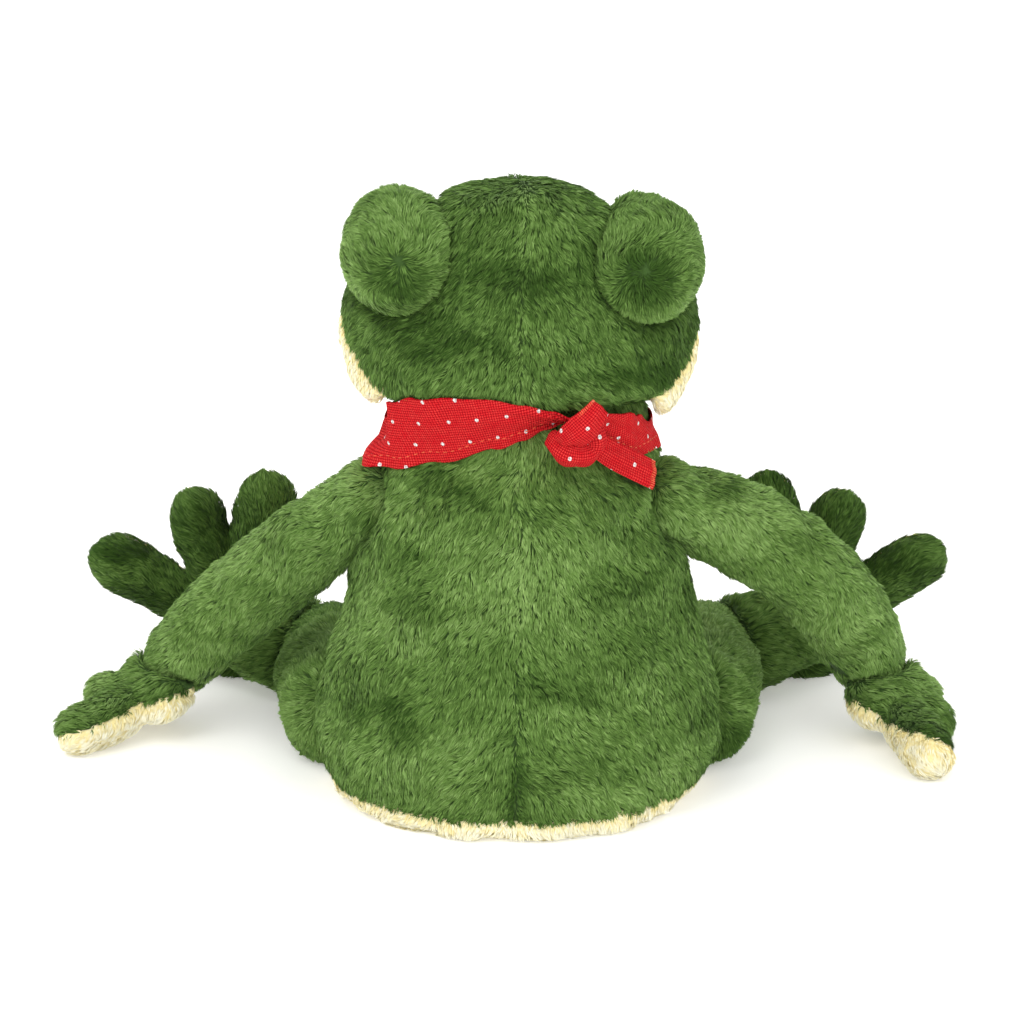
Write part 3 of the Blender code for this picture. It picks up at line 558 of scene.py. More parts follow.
@dataclass(frozen=True)
class KerchiefFinish:
    """Red cotton in a plain weave with white pin dots, painted highlight on the thread crests and
    painted shade in the gaps between threads.
    """

    ground: Colour = (0.620, 0.006, 0.014, 1.0)
    shade: Colour = (0.200, 0.001, 0.005, 1.0)
    # Colour of the painted highlight on the thread crests.
    slub: Colour = (0.880, 0.120, 0.090, 1.0)
    dot: Colour = (0.880, 0.860, 0.840, 1.0)
    thread_pitch: float = 0.98 * MM
    dot_spacing: float = 12.0 * MM
    dot_rows: float = 8.6 * MM
    dot_radius: float = 0.74 * MM
    relief: float = 0.40 * MM

    def material(self, group: Tree) -> Material:
        """Make the cotton's material.

        Args:
            group: The plain weave.

        Returns:
            The material.
        """
        material, tree, shader = surface("red_dotted_cotton")
        weave = tree.nodes.new("ShaderNodeGroup")
        weave.node_tree = group
        weave.inputs["Thread Pitch"].default_value = self.thread_pitch
        # Painted highlight on the thread crests, unevenly strong, in a lighter orange red.
        crests = range_node(tree, weave.outputs["Height"], 0.62, 0.98, 0.0, 0.45)
        slub = range_node(tree, noise_node(tree, 420.0, 3.0), 0.35, 0.70, 0.35, 1.0)
        colour = mix_node(tree, math_node(tree, "MULTIPLY", crests, slub), self.ground, self.slub)
        colour = mix_node(tree, self.dots(tree), colour, self.dot)
        # Painted shade in the weave's gaps between threads, unevenly strong.
        gap_shade_strength = range_node(tree, noise_node(tree, 35.0, 2.0), 0.35, 0.75, 0.60, 0.85)
        gap = math_node(tree, "MULTIPLY", weave.outputs["Gap"], gap_shade_strength)
        colour = mix_node(tree, gap, colour, self.shade)
        tree.links.new(colour, shader.inputs["Base Color"])
        rough = range_node(tree, weave.outputs["Height"], 0.0, 1.0, 0.95, 0.78)
        tree.links.new(rough, shader.inputs["Roughness"])
        shader.inputs["Specular IOR Level"].default_value = 0.05
        bump(tree, shader, weave.outputs["Height"], self.relief)
        return material

    def dots(self, tree: Tree) -> Socket:
        """Add the staggered pin dots.

        Args:
            tree: The material's tree.

        Returns:
            A mask that is 1 on a dot.
        """
        side, length = flat_map(tree)
        row = math_node(tree, "DIVIDE", length, self.dot_rows)
        odd = math_node(tree, "PINGPONG", math_node(tree, "FLOOR", row), 1.0)
        shift = math_node(tree, "MULTIPLY", odd, 0.5)
        column = math_node(tree, "ADD", math_node(tree, "DIVIDE", side, self.dot_spacing), shift)
        squares = []
        for count, pitch in ((column, self.dot_spacing), (row, self.dot_rows)):
            part = math_node(tree, "SUBTRACT", math_node(tree, "FRACT", count), 0.5)
            part = math_node(tree, "MULTIPLY", part, pitch)
            squares.append(math_node(tree, "MULTIPLY", part, part))
        away = math_node(tree, "SQRT", math_node(tree, "ADD", *squares))
        return range_node(tree, away, self.dot_radius * 0.8, self.dot_radius * 1.1, 1.0, 0.0)


@dataclass(frozen=True)
class PlainFinish:
    """A finish of one colour with a little unevenness."""

    name: str
    colour: Colour
    shade: Colour
    roughness: float
    grain: float
    relief: float

    def material(self) -> Material:
        """Make the material.

        Returns:
            The material.
        """
        material, tree, shader = surface(self.name)
        speckle = noise_node(tree, self.grain, 4.0)
        colour = mix_node(tree, range_node(tree, speckle, 0.35, 0.7), self.colour, self.shade)
        tree.links.new(colour, shader.inputs["Base Color"])
        low, high = self.roughness * 0.85, min(1.0, self.roughness * 1.15)
        tree.links.new(range_node(tree, speckle, 0.3, 0.7, low, high), shader.inputs["Roughness"])
        bump(tree, shader, speckle, self.relief)
        return material


EYE_PLASTIC = PlainFinish(
    "black_glossy_plastic", colour=(0.006, 0.005, 0.005, 1.0), shade=(0.012, 0.010, 0.009, 1.0),
    roughness=0.09, grain=60.0, relief=0.01 * MM)
WASHER_PLASTIC = PlainFinish(
    "white_washer_plastic", colour=(0.80, 0.80, 0.78, 1.0), shade=(0.70, 0.70, 0.68, 1.0),
    roughness=0.45, grain=300.0, relief=0.05 * MM)
FIBRE = PlainFinish(
    "white_fibre_filling", colour=(0.88, 0.88, 0.86, 1.0), shade=(0.66, 0.66, 0.65, 1.0),
    roughness=0.98, grain=240.0, relief=1.2 * MM)
POUCH_COTTON = PlainFinish(
    "unbleached_pouch_cotton", colour=(0.70, 0.66, 0.56, 1.0), shade=(0.58, 0.54, 0.44, 1.0),
    roughness=0.9, grain=800.0, relief=0.3 * MM)
BLACK_THREAD = PlainFinish(
    "black_embroidery_thread", colour=(0.012, 0.011, 0.011, 1.0), shade=(0.035, 0.032, 0.030, 1.0),
    roughness=0.55, grain=1500.0, relief=0.15 * MM)
RED_THREAD = PlainFinish(
    "red_overlock_thread", colour=(0.80, 0.130, 0.040, 1.0), shade=(0.55, 0.030, 0.020, 1.0),
    roughness=0.7, grain=1500.0, relief=0.12 * MM)
PALE_FLOOR = PlainFinish(
    "pale_floor", colour=(0.90, 0.90, 0.89, 1.0), shade=(0.89, 0.89, 0.88, 1.0),
    roughness=0.8, grain=3.0, relief=0.1 * MM)


# Plush pieces

def points_of(mesh: Mesh, kind: str = "co") -> np.ndarray:
    """Read a mesh's points or normals.

    Args:
        mesh: The mesh.
        kind: Which attribute of the vertices, "co" or "normal".

    Returns:
        One row a vertex.
    """
    values = np.empty(len(mesh.vertices) * 3)
    mesh.vertices.foreach_get(kind, values)
    return values.reshape(-1, 3)


def nearness(points: np.ndarray) -> KDTree:
    """Make a tree that finds the nearest of some points.

    Args:
        points: The points, one a row.

    Returns:
        The balanced tree.
    """
    tree = KDTree(len(points))
    for index, point in enumerate(points):
        tree.insert(point, index)
    tree.balance()
    return tree


@dataclass
class Plush:
    """One sewn form: the skins of its nodes and the pile that grows on them."""

    body: str
    cloths: dict[str, Cloth]
    comb: Field
    core: tuple[str, ...] = ()
    voxel: float = 1.9 * MM
    softness: int = 8
    swell: float = 0.9 * MM
    crease: float = 0.6 * MM
    sag: float = 0.0
    seam_depth: float = 0.7 * MM
    deepest: float = -0.5 * MM
    drift: float = 0.34
    # Shift of the whole form's pile tone: painted light where positive, painted shade where negative.
    painted_light_shift: float = 0.0
    fill: float = 0.7
    seed: int = 1
    wall: float = 1.2 * MM
    reach: dict[str, float] = field(default_factory=dict)
    hollow: Vector | None = None
    tuck: Vector | None = None
    tuck_depth: float = 2.4 * MM
    tuck_radius: float = 15.0 * MM
    fold_length: float = 24.0 * MM
    fine_fold_length: float = 11.0 * MM
    fine_fold_share: float = 0.5
    sag_length: float = 42.0 * MM
    sag_stretch_shares: tuple[float, float, float] = (0.6, 0.6, 1.5)
    neighbour_reach: float = 4.0 * MM
    neighbour_gap: float = 0.6 * MM
    seam_width: float = 2.4 * MM
    whole: Mesh | None = None

    def shape(self, neighbours: list[BVHTree]) -> None:
        """Make one closed soft shape from the solids of the form.

        Args:
            neighbours: The solids of the other forms, which it doesn't swell into.
        """
        bm = bmesh.new()
        for name in (*self.cloths, *self.core):
            bm.from_mesh(frame["nodes"][name].data)
        bmesh.ops.remove_doubles(bm, verts=bm.verts, dist=MERGE)
        obj = object_of("form", bm)
        remesh = obj.modifiers.new("even", "REMESH")
        remesh.mode = "VOXEL"
        remesh.voxel_size = self.voxel
        with_modifiers(obj)
        bm = bmesh.new()
        bm.from_mesh(obj.data)
        for _ in range(self.softness):
            bmesh.ops.smooth_vert(bm, verts=bm.verts, factor=0.5, use_axis_x=True,
                                  use_axis_y=True, use_axis_z=True)
        bm.normal_update()
        places = np.array([vert.co for vert in bm.verts])
        folds = ripples(places, self.fold_length, self.seed)
        folds += self.fine_fold_share * ripples(places, self.fine_fold_length, self.seed + 1)
        sags = ripples(places * np.array(self.sag_stretch_shares), self.sag_length, self.seed + 2)
        fade = self.neighbour_reach - self.neighbour_gap
        for vert, fold, sag in zip(bm.verts, folds, sags):
            room = 1.0
            for tree in neighbours:
                near = tree.find_nearest(vert.co, self.neighbour_reach)
                if near[0] is not None:
                    room = min(room, max(0.0, (near[3] - self.neighbour_gap) / fade))
            out = max(self.swell + self.crease * float(fold) + self.sag * float(sag), self.deepest)
            out *= room
            if self.tuck is not None:
                near = (vert.co - self.tuck).length / self.tuck_radius
                out -= (self.tuck_depth + max(out, 0.0)) * math.exp(-near ** 4)
            vert.co += vert.normal * out
            vert.co.z = max(vert.co.z, 0.0)
        bm.to_mesh(obj.data)
        bm.free()
        self.whole = obj.data
        bpy.data.objects.remove(obj, do_unlink=True)

    def split(self) -> dict[str, Mesh]:
        """Share the form's faces out among the nodes that they lie nearest.

        Returns:
            Each node's open mesh, drawn in along its seams.
        """
        trees = {name: tree_of(frame["nodes"][name].data) for name in self.cloths}
        owners = []
        for polygon in self.whole.polygons:
            away = {name: tree.find_nearest(polygon.center)[3] - self.reach.get(name, 0.0)
                    for name, tree in trees.items()}
            owners.append(min(away, key=away.get))
        shares = {}
        for name in self.cloths:
            bm = bmesh.new()
            bm.from_mesh(self.whole)
            bm.faces.ensure_lookup_table()
            others = [face for face, owner in zip(bm.faces, owners) if owner != name]
            bmesh.ops.delete(bm, geom=others, context="FACES")
            bm.normal_update()
            edge = [vert for vert in bm.verts if vert.is_boundary]
            if edge:
                tree = nearness(np.array([vert.co for vert in edge]))
                for vert in bm.verts:
                    away = tree.find(vert.co)[2]
                    share = math.exp(-(away / self.seam_width) ** 2)
                    vert.co -= vert.normal * (self.seam_depth * share)
                    vert.co.z = max(vert.co.z, 0.0)
            shares[name] = bpy.data.meshes.new(name + "_skin")
            bm.to_mesh(shares[name])
            bm.free()
        return shares

    def build(self, finishes: "Finishes", neighbours: list[BVHTree], covers: list[BVHTree]) -> None:
        """Make the skins and the pile of every node.

        Args:
            finishes: The materials.
            neighbours: What lies close by, where no pile grows.
            covers: Cloth that lies on the pile.
        """
        for count, (name, mesh) in enumerate(self.split().items()):
            cloth = self.cloths[name]
            grown = Pile(finishes.plush[cloth], self.comb, self.seed, self.seed + count,
                         self.drift, self.painted_light_shift, self.hollow)
            pile = grown.build(name + "_pile", mesh, neighbours, covers)
            dress(pile, finishes.pile[cloth], self.body)
            skin = new_object(name + "_skin", mesh)
            wall = skin.modifiers.new("wall", "SOLIDIFY")
            wall.thickness = self.wall
            wall.offset = -1.0
            with_modifiers(skin)
            skin.data.shade_smooth()
            dress(skin, finishes.backing[cloth], self.body)
            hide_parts(name)


@dataclass(frozen=True)
class Growth:
    """How a pile lies: the lengths of its swirls and of its painted nap light and shade, and the shares
    of each effect, painted light and shade among them.
    """

    seam_reach: float = 2.6 * MM
    room: float = 14.0 * MM
    skin_gap: float = 0.5 * MM
    root_depth: float = 0.4 * MM
    floor_gap: float = 0.1 * MM
    press_depth: float = 8.0 * MM
    press_margin: float = 2.0 * MM
    press_shares: tuple[float, ...] = (1.0, 0.75, 0.5, 0.3, 0.0)
    quick_share: float = 0.4
    low_level: float = 25.0 * MM
    low_range: float = 50.0 * MM
    parting_lean_share: float = 0.90
    parting_fade_share: float = 0.65
    broad_length: float = 34.0 * MM
    swirl_length: float = 9.0 * MM
    swirl_share: float = 0.22
    fine_swirl_length: float = 4.0 * MM
    fine_swirl_share: float = 0.15
    bend_share: float = 0.14
    stray_turn: float = 0.07
    wave_length: float = 30.0 * MM
    wave_height: float = 4.0 * MM
    ruffle_length: float = 26.0 * MM
    ruffle_stretch_shares: tuple[float, float, float] = (0.42, 0.42, 1.25)
    ruffle_level: float = 0.35
    ruffle_top: float = 1.2
    hollow_radius: float = 9.0 * MM
    hollow_ruffle_share: float = 0.5
    hollow_dip_share: float = 0.6
    plain_dip: float = 0.35
    rise_share: float = 0.08
    ruffle_lift_share: float = 0.20
    stray_lift: float = 0.06
    least_lift: float = 0.14
    least_length_share: float = 0.78
    length_spread_share: float = 0.32
    lock_length_share: float = 0.10
    seam_trim_share: float = 0.20
    tip_rise_share: float = 0.78
    middle_rise_share: float = 0.52
    middle_run_share: float = 0.42
    gather_share: float = 0.24
    middle_gather_share: float = 0.25
    twist: float = 0.5
    least_width_share: float = 0.75
    width_spread_share: float = 0.5
    # Broad marks of painted nap light and shade, painted shade where the pile is ruffled, and painted
    # shade at the eye dome's hollow.
    painted_nap_length: float = 44.0 * MM
    painted_nap_middle_share: float = 0.5
    painted_nap_contrast_share: float = 0.55
    base_tone: float = 0.44
    painted_nap_tone: float = 0.24
    painted_nap_level: float = 0.35
    ruffle_painted_shade: float = 0.27
    hollow_painted_shade: float = 0.55
    lock_tone: float = 0.36
    strand_tone: float = 0.44
    strand_shares: tuple[float, ...] = (0.0, 0.55, 0.55, 1.0)
    map_margin_share: float = 0.05
    map_span_share: float = 0.90
    map_breadth_shares: tuple[float, ...] = (0.0, 0.01, -0.01, 0.0)


@dataclass
class Pile:
    """Short tapered strands rooted in a skin, combed, and gathered in locks."""

    finish: PlushFinish
    comb: Field
    seed: int
    scatter: int
    drift: float = 0.34
    # Shift of the whole pile's tone: painted light where positive, painted shade where negative.
    painted_light_shift: float = 0.0
    hollow: Vector | None = None
    growth: Growth = Growth()

    def roots(self, mesh: Mesh) -> tuple[np.ndarray, np.ndarray]:
        """Scatter roots evenly over a mesh.

        Args:
            mesh: The skin's outer face.

        Returns:
            The roots and the surface's normals there.
        """
        chance = np.random.default_rng(self.scatter)
        mesh.calc_loop_triangles()
        corners = np.empty(len(mesh.loop_triangles) * 3, np.int32)
        mesh.loop_triangles.foreach_get("vertices", corners)
        corners = corners.reshape(-1, 3)
        places, normals = points_of(mesh), points_of(mesh, "normal")
        first, second, third = (places[corners[:, i]] for i in range(3))
        areas = np.linalg.norm(np.cross(second - first, third - first), axis=1) / 2
        density = self.finish.per_square_mm * 1.0 / MM ** 2
        count = int(areas.sum() * density)
        chosen = chance.choice(len(areas), size=count, p=areas / areas.sum())
        share = np.sqrt(chance.random(count))
        side = chance.random(count)
        weights = np.stack((1 - share, share * (1 - side), share * side), axis=1)
        spots = sum(places[corners[chosen, i]] * weights[:, i:i + 1] for i in range(3))
        facing = sum(normals[corners[chosen, i]] * weights[:, i:i + 1] for i in range(3))
        return spots, unit(facing)

    def clear(self, spots: np.ndarray, neighbours: list[BVHTree]) -> np.ndarray:
        """Find the roots that lie in no neighbour.

        Args:
            spots: The roots.
            neighbours: The neighbours' trees.

        Returns:
            True for each root that stays.
        """
        keep = np.ones(len(spots), bool)
        for tree in neighbours:
            for index in self.within(tree, spots, keep):
                place = Vector(spots[index])
                near, facing, _, away = tree.find_nearest(place, self.growth.room)
                if near is None:
                    continue
                if (place - near).dot(facing) < 0 or away < self.growth.skin_gap:
                    keep[index] = False
        return keep

    def pressed(self, spots: np.ndarray, tips: np.ndarray, normals: np.ndarray,
                covers: list[BVHTree]) -> np.ndarray:
        """Find how far each strand runs before it would lie over a cloth.

        Args:
            spots: The roots.
            tips: The strands' tips.
            normals: The surface's normals at the roots.
            covers: The trees of cloth that lies on the pile.

        Returns:
            The share of its length that each strand keeps, 0 where none is free.
        """
        growth = self.growth
        kept = np.ones(len(spots))
        for tree in covers:
            for index in self.within(tree, spots, kept > 0.0):
                root, inward = Vector(spots[index]), Vector(-normals[index])
                reach = Vector(tips[index]) - root
                low, high = root + inward * growth.press_margin, root + reach
                if (tree.ray_cast(low, -inward, growth.press_depth)[0] is not None
                        and tree.ray_cast(high, -inward, growth.press_depth)[0] is not None):
                    kept[index] = 0.0
                    continue
                for share in growth.press_shares:
                    place = root + reach * share
                    over = tree.ray_cast(place, inward, growth.press_depth)[0]
                    if over is None and tree.find_nearest(place, growth.skin_gap)[0] is None:
                        break
                kept[index] = min(kept[index], share)
        return kept

    def within(self, tree: BVHTree, spots: np.ndarray, keep: np.ndarray) -> np.ndarray:
        """Find the roots that may lie near a tree, by a coarse sample.

        Args:
            tree: The tree.
            spots: The roots.
            keep: Which roots still stay.

        Returns:
            Their indices.
        """
        room = self.growth.room
        cells = np.floor(spots / room).astype(np.int64)
        kinds, cell_of = np.unique(cells, axis=0, return_inverse=True)
        near = [tree.find_nearest(Vector((kind + 0.5) * room), room * 2)[0] is not None
                for kind in kinds]
        return np.nonzero(np.array(near)[cell_of.ravel()] & keep)[0]

    def seam_lean(self, mesh: Mesh, spots: np.ndarray) -> tuple[np.ndarray, np.ndarray]:
        """Find how near each root is to a seam, and the way away from it.

        Args:
            mesh: The skin's open mesh.
            spots: The roots.

        Returns:
            A share that is 1 on the seam, and the directions away from it.
        """
        bm = bmesh.new()
        bm.from_mesh(mesh)
        edge = np.array([vert.co for vert in bm.verts if vert.is_boundary])
        bm.free()
        share, away = np.zeros(len(spots)), np.zeros((len(spots), 3))
        if len(edge):
            tree = nearness(edge)
            for index, spot in enumerate(spots):
                place, _, distance = tree.find(spot)
                if distance < self.growth.seam_reach * 3:
                    share[index] = math.exp(-(distance / self.growth.seam_reach) ** 2)
                    away[index] = spot - np.array(place)
        return share, unit(away)

    def ruffles(self, spots: np.ndarray) -> tuple[np.ndarray, np.ndarray, np.ndarray]:
        """Find where the pile is ruffled.

        Args:
            spots: The roots.

        Returns:
            The roots in the ruffles' stretched space, how ruffled each one is, and how near it lies to
            the hollow's point, where the painted shade of a hollow goes.
        """
        growth = self.growth
        wide = spots * np.array(growth.ruffle_stretch_shares)
        wide[:, 2] += ripples(spots, growth.wave_length, self.seed + 5) * growth.wave_height
        ruffle = ripples(wide, growth.ruffle_length, self.seed + 9) - growth.ruffle_level
        ruffle = np.clip(ruffle, 0.0, growth.ruffle_top)
        dip = np.full(len(spots), growth.plain_dip)
        if self.hollow is not None:
            deep = np.linalg.norm(spots - np.array(self.hollow), axis=1) / growth.hollow_radius
            dip = np.exp(-deep ** 2)
            ruffle = growth.hollow_ruffle_share * ruffle + growth.hollow_dip_share * dip
        return wide, ruffle, dip

    def build(self, name: str, mesh: Mesh, neighbours: list[BVHTree],
              covers: list[BVHTree]) -> Object:
        """Grow the strands.

        Args:
            name: The piece's name.
            mesh: The skin's outer face.
            neighbours: What lies close by, where nothing grows.
            covers: Cloth that lies on the pile.

        Returns:
            The pile as one piece.
        """
        growth, finish = self.growth, self.finish
        spots, normals = self.roots(mesh)
        keep = self.clear(spots, neighbours)
        spots, normals = spots[keep], normals[keep]
        count = len(spots)
        chance = np.random.default_rng(self.scatter + 100)
        seam, away = self.seam_lean(mesh, spots)
        owner = self.locks(spots)
        lock = chance.random(count)[owner]
        bend = chance.normal(0.0, 1.0, count)[owner]
        rise = chance.normal(0.0, 1.0, count)[owner]
        flow = self.comb(spots)
        flow = unit(flow - normals * (flow * normals).sum(axis=1, keepdims=True))
        height = np.clip((spots[:, 2] - growth.low_level) / growth.low_range, 0.0, 1.0)
        lean = seam * (growth.parting_lean_share - growth.parting_fade_share * height)
        flow = unit(flow + away * lean[:, None])
        side = np.cross(normals, flow)
        swirl = (self.drift * ripples(spots, growth.broad_length, self.seed + 8)
                 + growth.swirl_share * ripples(spots, growth.swirl_length, self.seed + 7))
        swirl += growth.fine_swirl_share * ripples(spots, growth.fine_swirl_length, self.seed + 6)
        swirl += growth.bend_share * bend + chance.normal(0.0, growth.stray_turn, count)
        way = flow * np.cos(swirl)[:, None] + side * np.sin(swirl)[:, None]
        wide, ruffle, dip = self.ruffles(spots)
        lift = (finish.lift + growth.rise_share * rise + growth.ruffle_lift_share * ruffle
                + chance.normal(0.0, growth.stray_lift, count))
        lift = np.clip(lift, growth.least_lift, 1.0)
        upward, onward = np.sin(lift), np.cos(lift)
        length = finish.length * (growth.least_length_share
                                  + growth.length_spread_share * chance.random(count)
                                  + growth.lock_length_share * lock)
        length *= 1.0 - growth.seam_trim_share * seam
        tip = spots + (normals * (growth.tip_rise_share * upward)[:, None]
                       + way * onward[:, None]) * length[:, None]
        kept = self.pressed(spots, tip, normals, covers)
        length = length * kept
        middle = spots + (normals * (growth.middle_rise_share * upward)[:, None]
                          + way * (growth.middle_run_share * onward)[:, None]) * length[:, None]
        tip = spots + (tip - spots) * kept[:, None]
        gather = growth.gather_share * (kept == 1.0)[:, None]
        tip = tip + (tip[owner] - tip) * gather
        middle = middle + (middle[owner] - middle) * (growth.middle_gather_share * gather)
        root = spots - normals * growth.root_depth
        twist = chance.normal(0.0, growth.twist, count)
        cross = unit(np.cross(normals, way))
        across = cross * np.cos(twist)[:, None] + normals * np.sin(twist)[:, None]
        half = finish.width / 2 * (growth.least_width_share
                                   + growth.width_spread_share * chance.random(count))
        rows = np.stack((root, middle - across * half[:, None], middle + across * half[:, None],
                         tip), axis=1)
        rows[:, :, 2] = np.maximum(rows[:, :, 2], growth.floor_gap)
        # Broad marks of painted nap light and shade.
        painted_nap = growth.painted_nap_contrast_share * ripples(wide, growth.painted_nap_length, self.seed + 12)
        painted_nap = np.clip(growth.painted_nap_middle_share + painted_nap, 0.0, 1.0)
        # Painted light and shade: the nap marks, and painted shade where the pile is ruffled, scaled by
        # the cloth's share.
        painted_light_tone = finish.painted_light_share * (growth.painted_nap_tone * (painted_nap - growth.painted_nap_level)
                                   - growth.ruffle_painted_shade * ruffle)
        # Painted shade near the hollow's point, and a little painted light away from it on the eye
        # domes.
        painted_light_tone += growth.hollow_painted_shade * (growth.plain_dip - dip)
        # The form's tone shift adds painted light where positive and painted shade where negative.
        tone = growth.base_tone + self.painted_light_shift * finish.painted_light_share + painted_light_tone
        tone += growth.lock_tone * (lock - 0.5)
        tone += growth.strand_tone * (chance.random(count) - 0.5)
        # Along seams the pile takes painted seam shade low down; higher up the green takes a lighter
        # painted line and the cream keeps painted shade.
        painted_seam_tone = finish.painted_seam_tone_low + (finish.painted_seam_tone - finish.painted_seam_tone_low) * height
        tone = np.clip(tone + painted_seam_tone * seam, 0.0, 1.0)
        there = kept > 0.0
        return self.mesh(name, rows[there], tone[there])

    def locks(self, spots: np.ndarray) -> np.ndarray:
        """Share the strands out among locks.

        Args:
            spots: The roots, in random order.

        Returns:
            For each strand, the strand that leads its lock.
        """
        leaders = max(1, len(spots) // self.finish.lock)
        tree = nearness(spots[:leaders])
        return np.array([tree.find(spot)[1] for spot in spots])

    def mesh(self, name: str, rows: np.ndarray, tone: np.ndarray) -> Object:
        """Turn strands into a mesh with a map of tone across and length up.

        Args:
            name: The piece's name.
            rows: Each strand's root, its two middle corners and its tip.
            tone: Each strand's tone.

        Returns:
            The piece.
        """
        count, each = rows.shape[:2]
        mesh = bpy.data.meshes.new(name)
        corners = np.array([0, 2, 1, 1, 2, 3])
        loops = (np.arange(count)[:, None] * each + corners).ravel()
        starts = np.arange(count * 2) * 3
        mesh.vertices.add(count * each)
        mesh.vertices.foreach_set("co", rows.reshape(-1).astype(np.float32))
        mesh.loops.add(len(loops))
        mesh.loops.foreach_set("vertex_index", loops.astype(np.int32))
        mesh.polygons.add(len(starts))
        mesh.polygons.foreach_set("loop_start", starts.astype(np.int32))
        mesh.update(calc_edges=True)
        mesh.validate()
        growth = self.growth
        length = np.array(growth.strand_shares)
        for label, values in (("along", np.tile(length, count)), ("tone", np.repeat(tone, each))):
            held = mesh.attributes.new(label, "FLOAT", "POINT")
            held.data.foreach_set("value", values.astype(np.float32))
        breadth = np.array(growth.map_breadth_shares)
        margin, span = growth.map_margin_share, growth.map_span_share
        across = margin + span * tone[:, None] + breadth[corners]
        up = np.broadcast_to(margin + span * length[corners], across.shape)
        layer = mesh.uv_layers.new(name="OFBake")
        layer.uv.foreach_set("vector", np.stack((across, up), axis=2).reshape(-1).astype(np.float32))
        mesh.shade_smooth()
        return new_object(name, mesh)


@dataclass
class Finishes:
    """Every material of the frog, made once."""

    plush: dict[Cloth, PlushFinish] = field(default_factory=dict)
    pile: dict[Cloth, Material] = field(default_factory=dict)
    backing: dict[Cloth, Material] = field(default_factory=dict)
    cotton: Material | None = None
    red_thread: Material | None = None
    black_thread: Material | None = None

    def build(self) -> None:
        """Make the materials that several pieces share."""
        tone = pile_tone_group()
        for finish in (GREEN_PLUSH, CREAM_PLUSH):
            self.plush[finish.cloth] = finish
            self.pile[finish.cloth] = finish.pile(tone)
            self.backing[finish.cloth] = finish.skin()
        self.cotton = KerchiefFinish().material(weave_group())
        self.red_thread = RED_THREAD.material()
        self.black_thread = BLACK_THREAD.material()


def falling(outward: float, centre: Vector = Vector(), narrow: float = 12.0 * MM,
            deep: float = 60.0 * MM) -> Field:
    """Pile combed down and away from the middle.

    Args:
        outward: The outward share beside a downward one of 1.
        centre: A point on the middle line.
        narrow: How soon the pile turns sideways beside the middle line.
        deep: How far before or behind the centre the forward share reaches 1.

    Returns:
        The comb's field.
    """
    def comb(places: np.ndarray) -> np.ndarray:
        """Down and outward."""
        away = places - np.array(centre)
        spread = np.stack((np.tanh(away[:, 0] / narrow), away[:, 1] / deep,
                           np.zeros(len(places))), axis=1)
        return spread * outward - np.array(UP)
    return comb


def running(start: Vector, end: Vector, down: float = 0.0) -> Field:
    """Pile combed along a limb.

    Args:
        start: Where the limb begins.
        end: Where it ends.
        down: A downward share beside an onward one of 1.

    Returns:
        The comb's field.
    """
    onward = np.array((end - start).normalized()) - np.array(UP) * down

    def comb(places: np.ndarray) -> np.ndarray:
        """Along the limb."""
        return np.tile(onward, (len(places), 1))
    return comb


def spreading(centre: Vector, swirl: float = 0.0, axis: Vector = UP) -> Field:
    """Pile combed away from a point, with a swirl about an axis.

    Args:
        centre: The point.
        swirl: The sideways share beside an outward one of 1.
        axis: What it swirls about.

    Returns:
        The comb's field.
    """
    def comb(places: np.ndarray) -> np.ndarray:
        """Away from the point."""
        away = unit(places - np.array(centre))
        return away + np.cross(np.array(axis), away) * swirl
    return comb


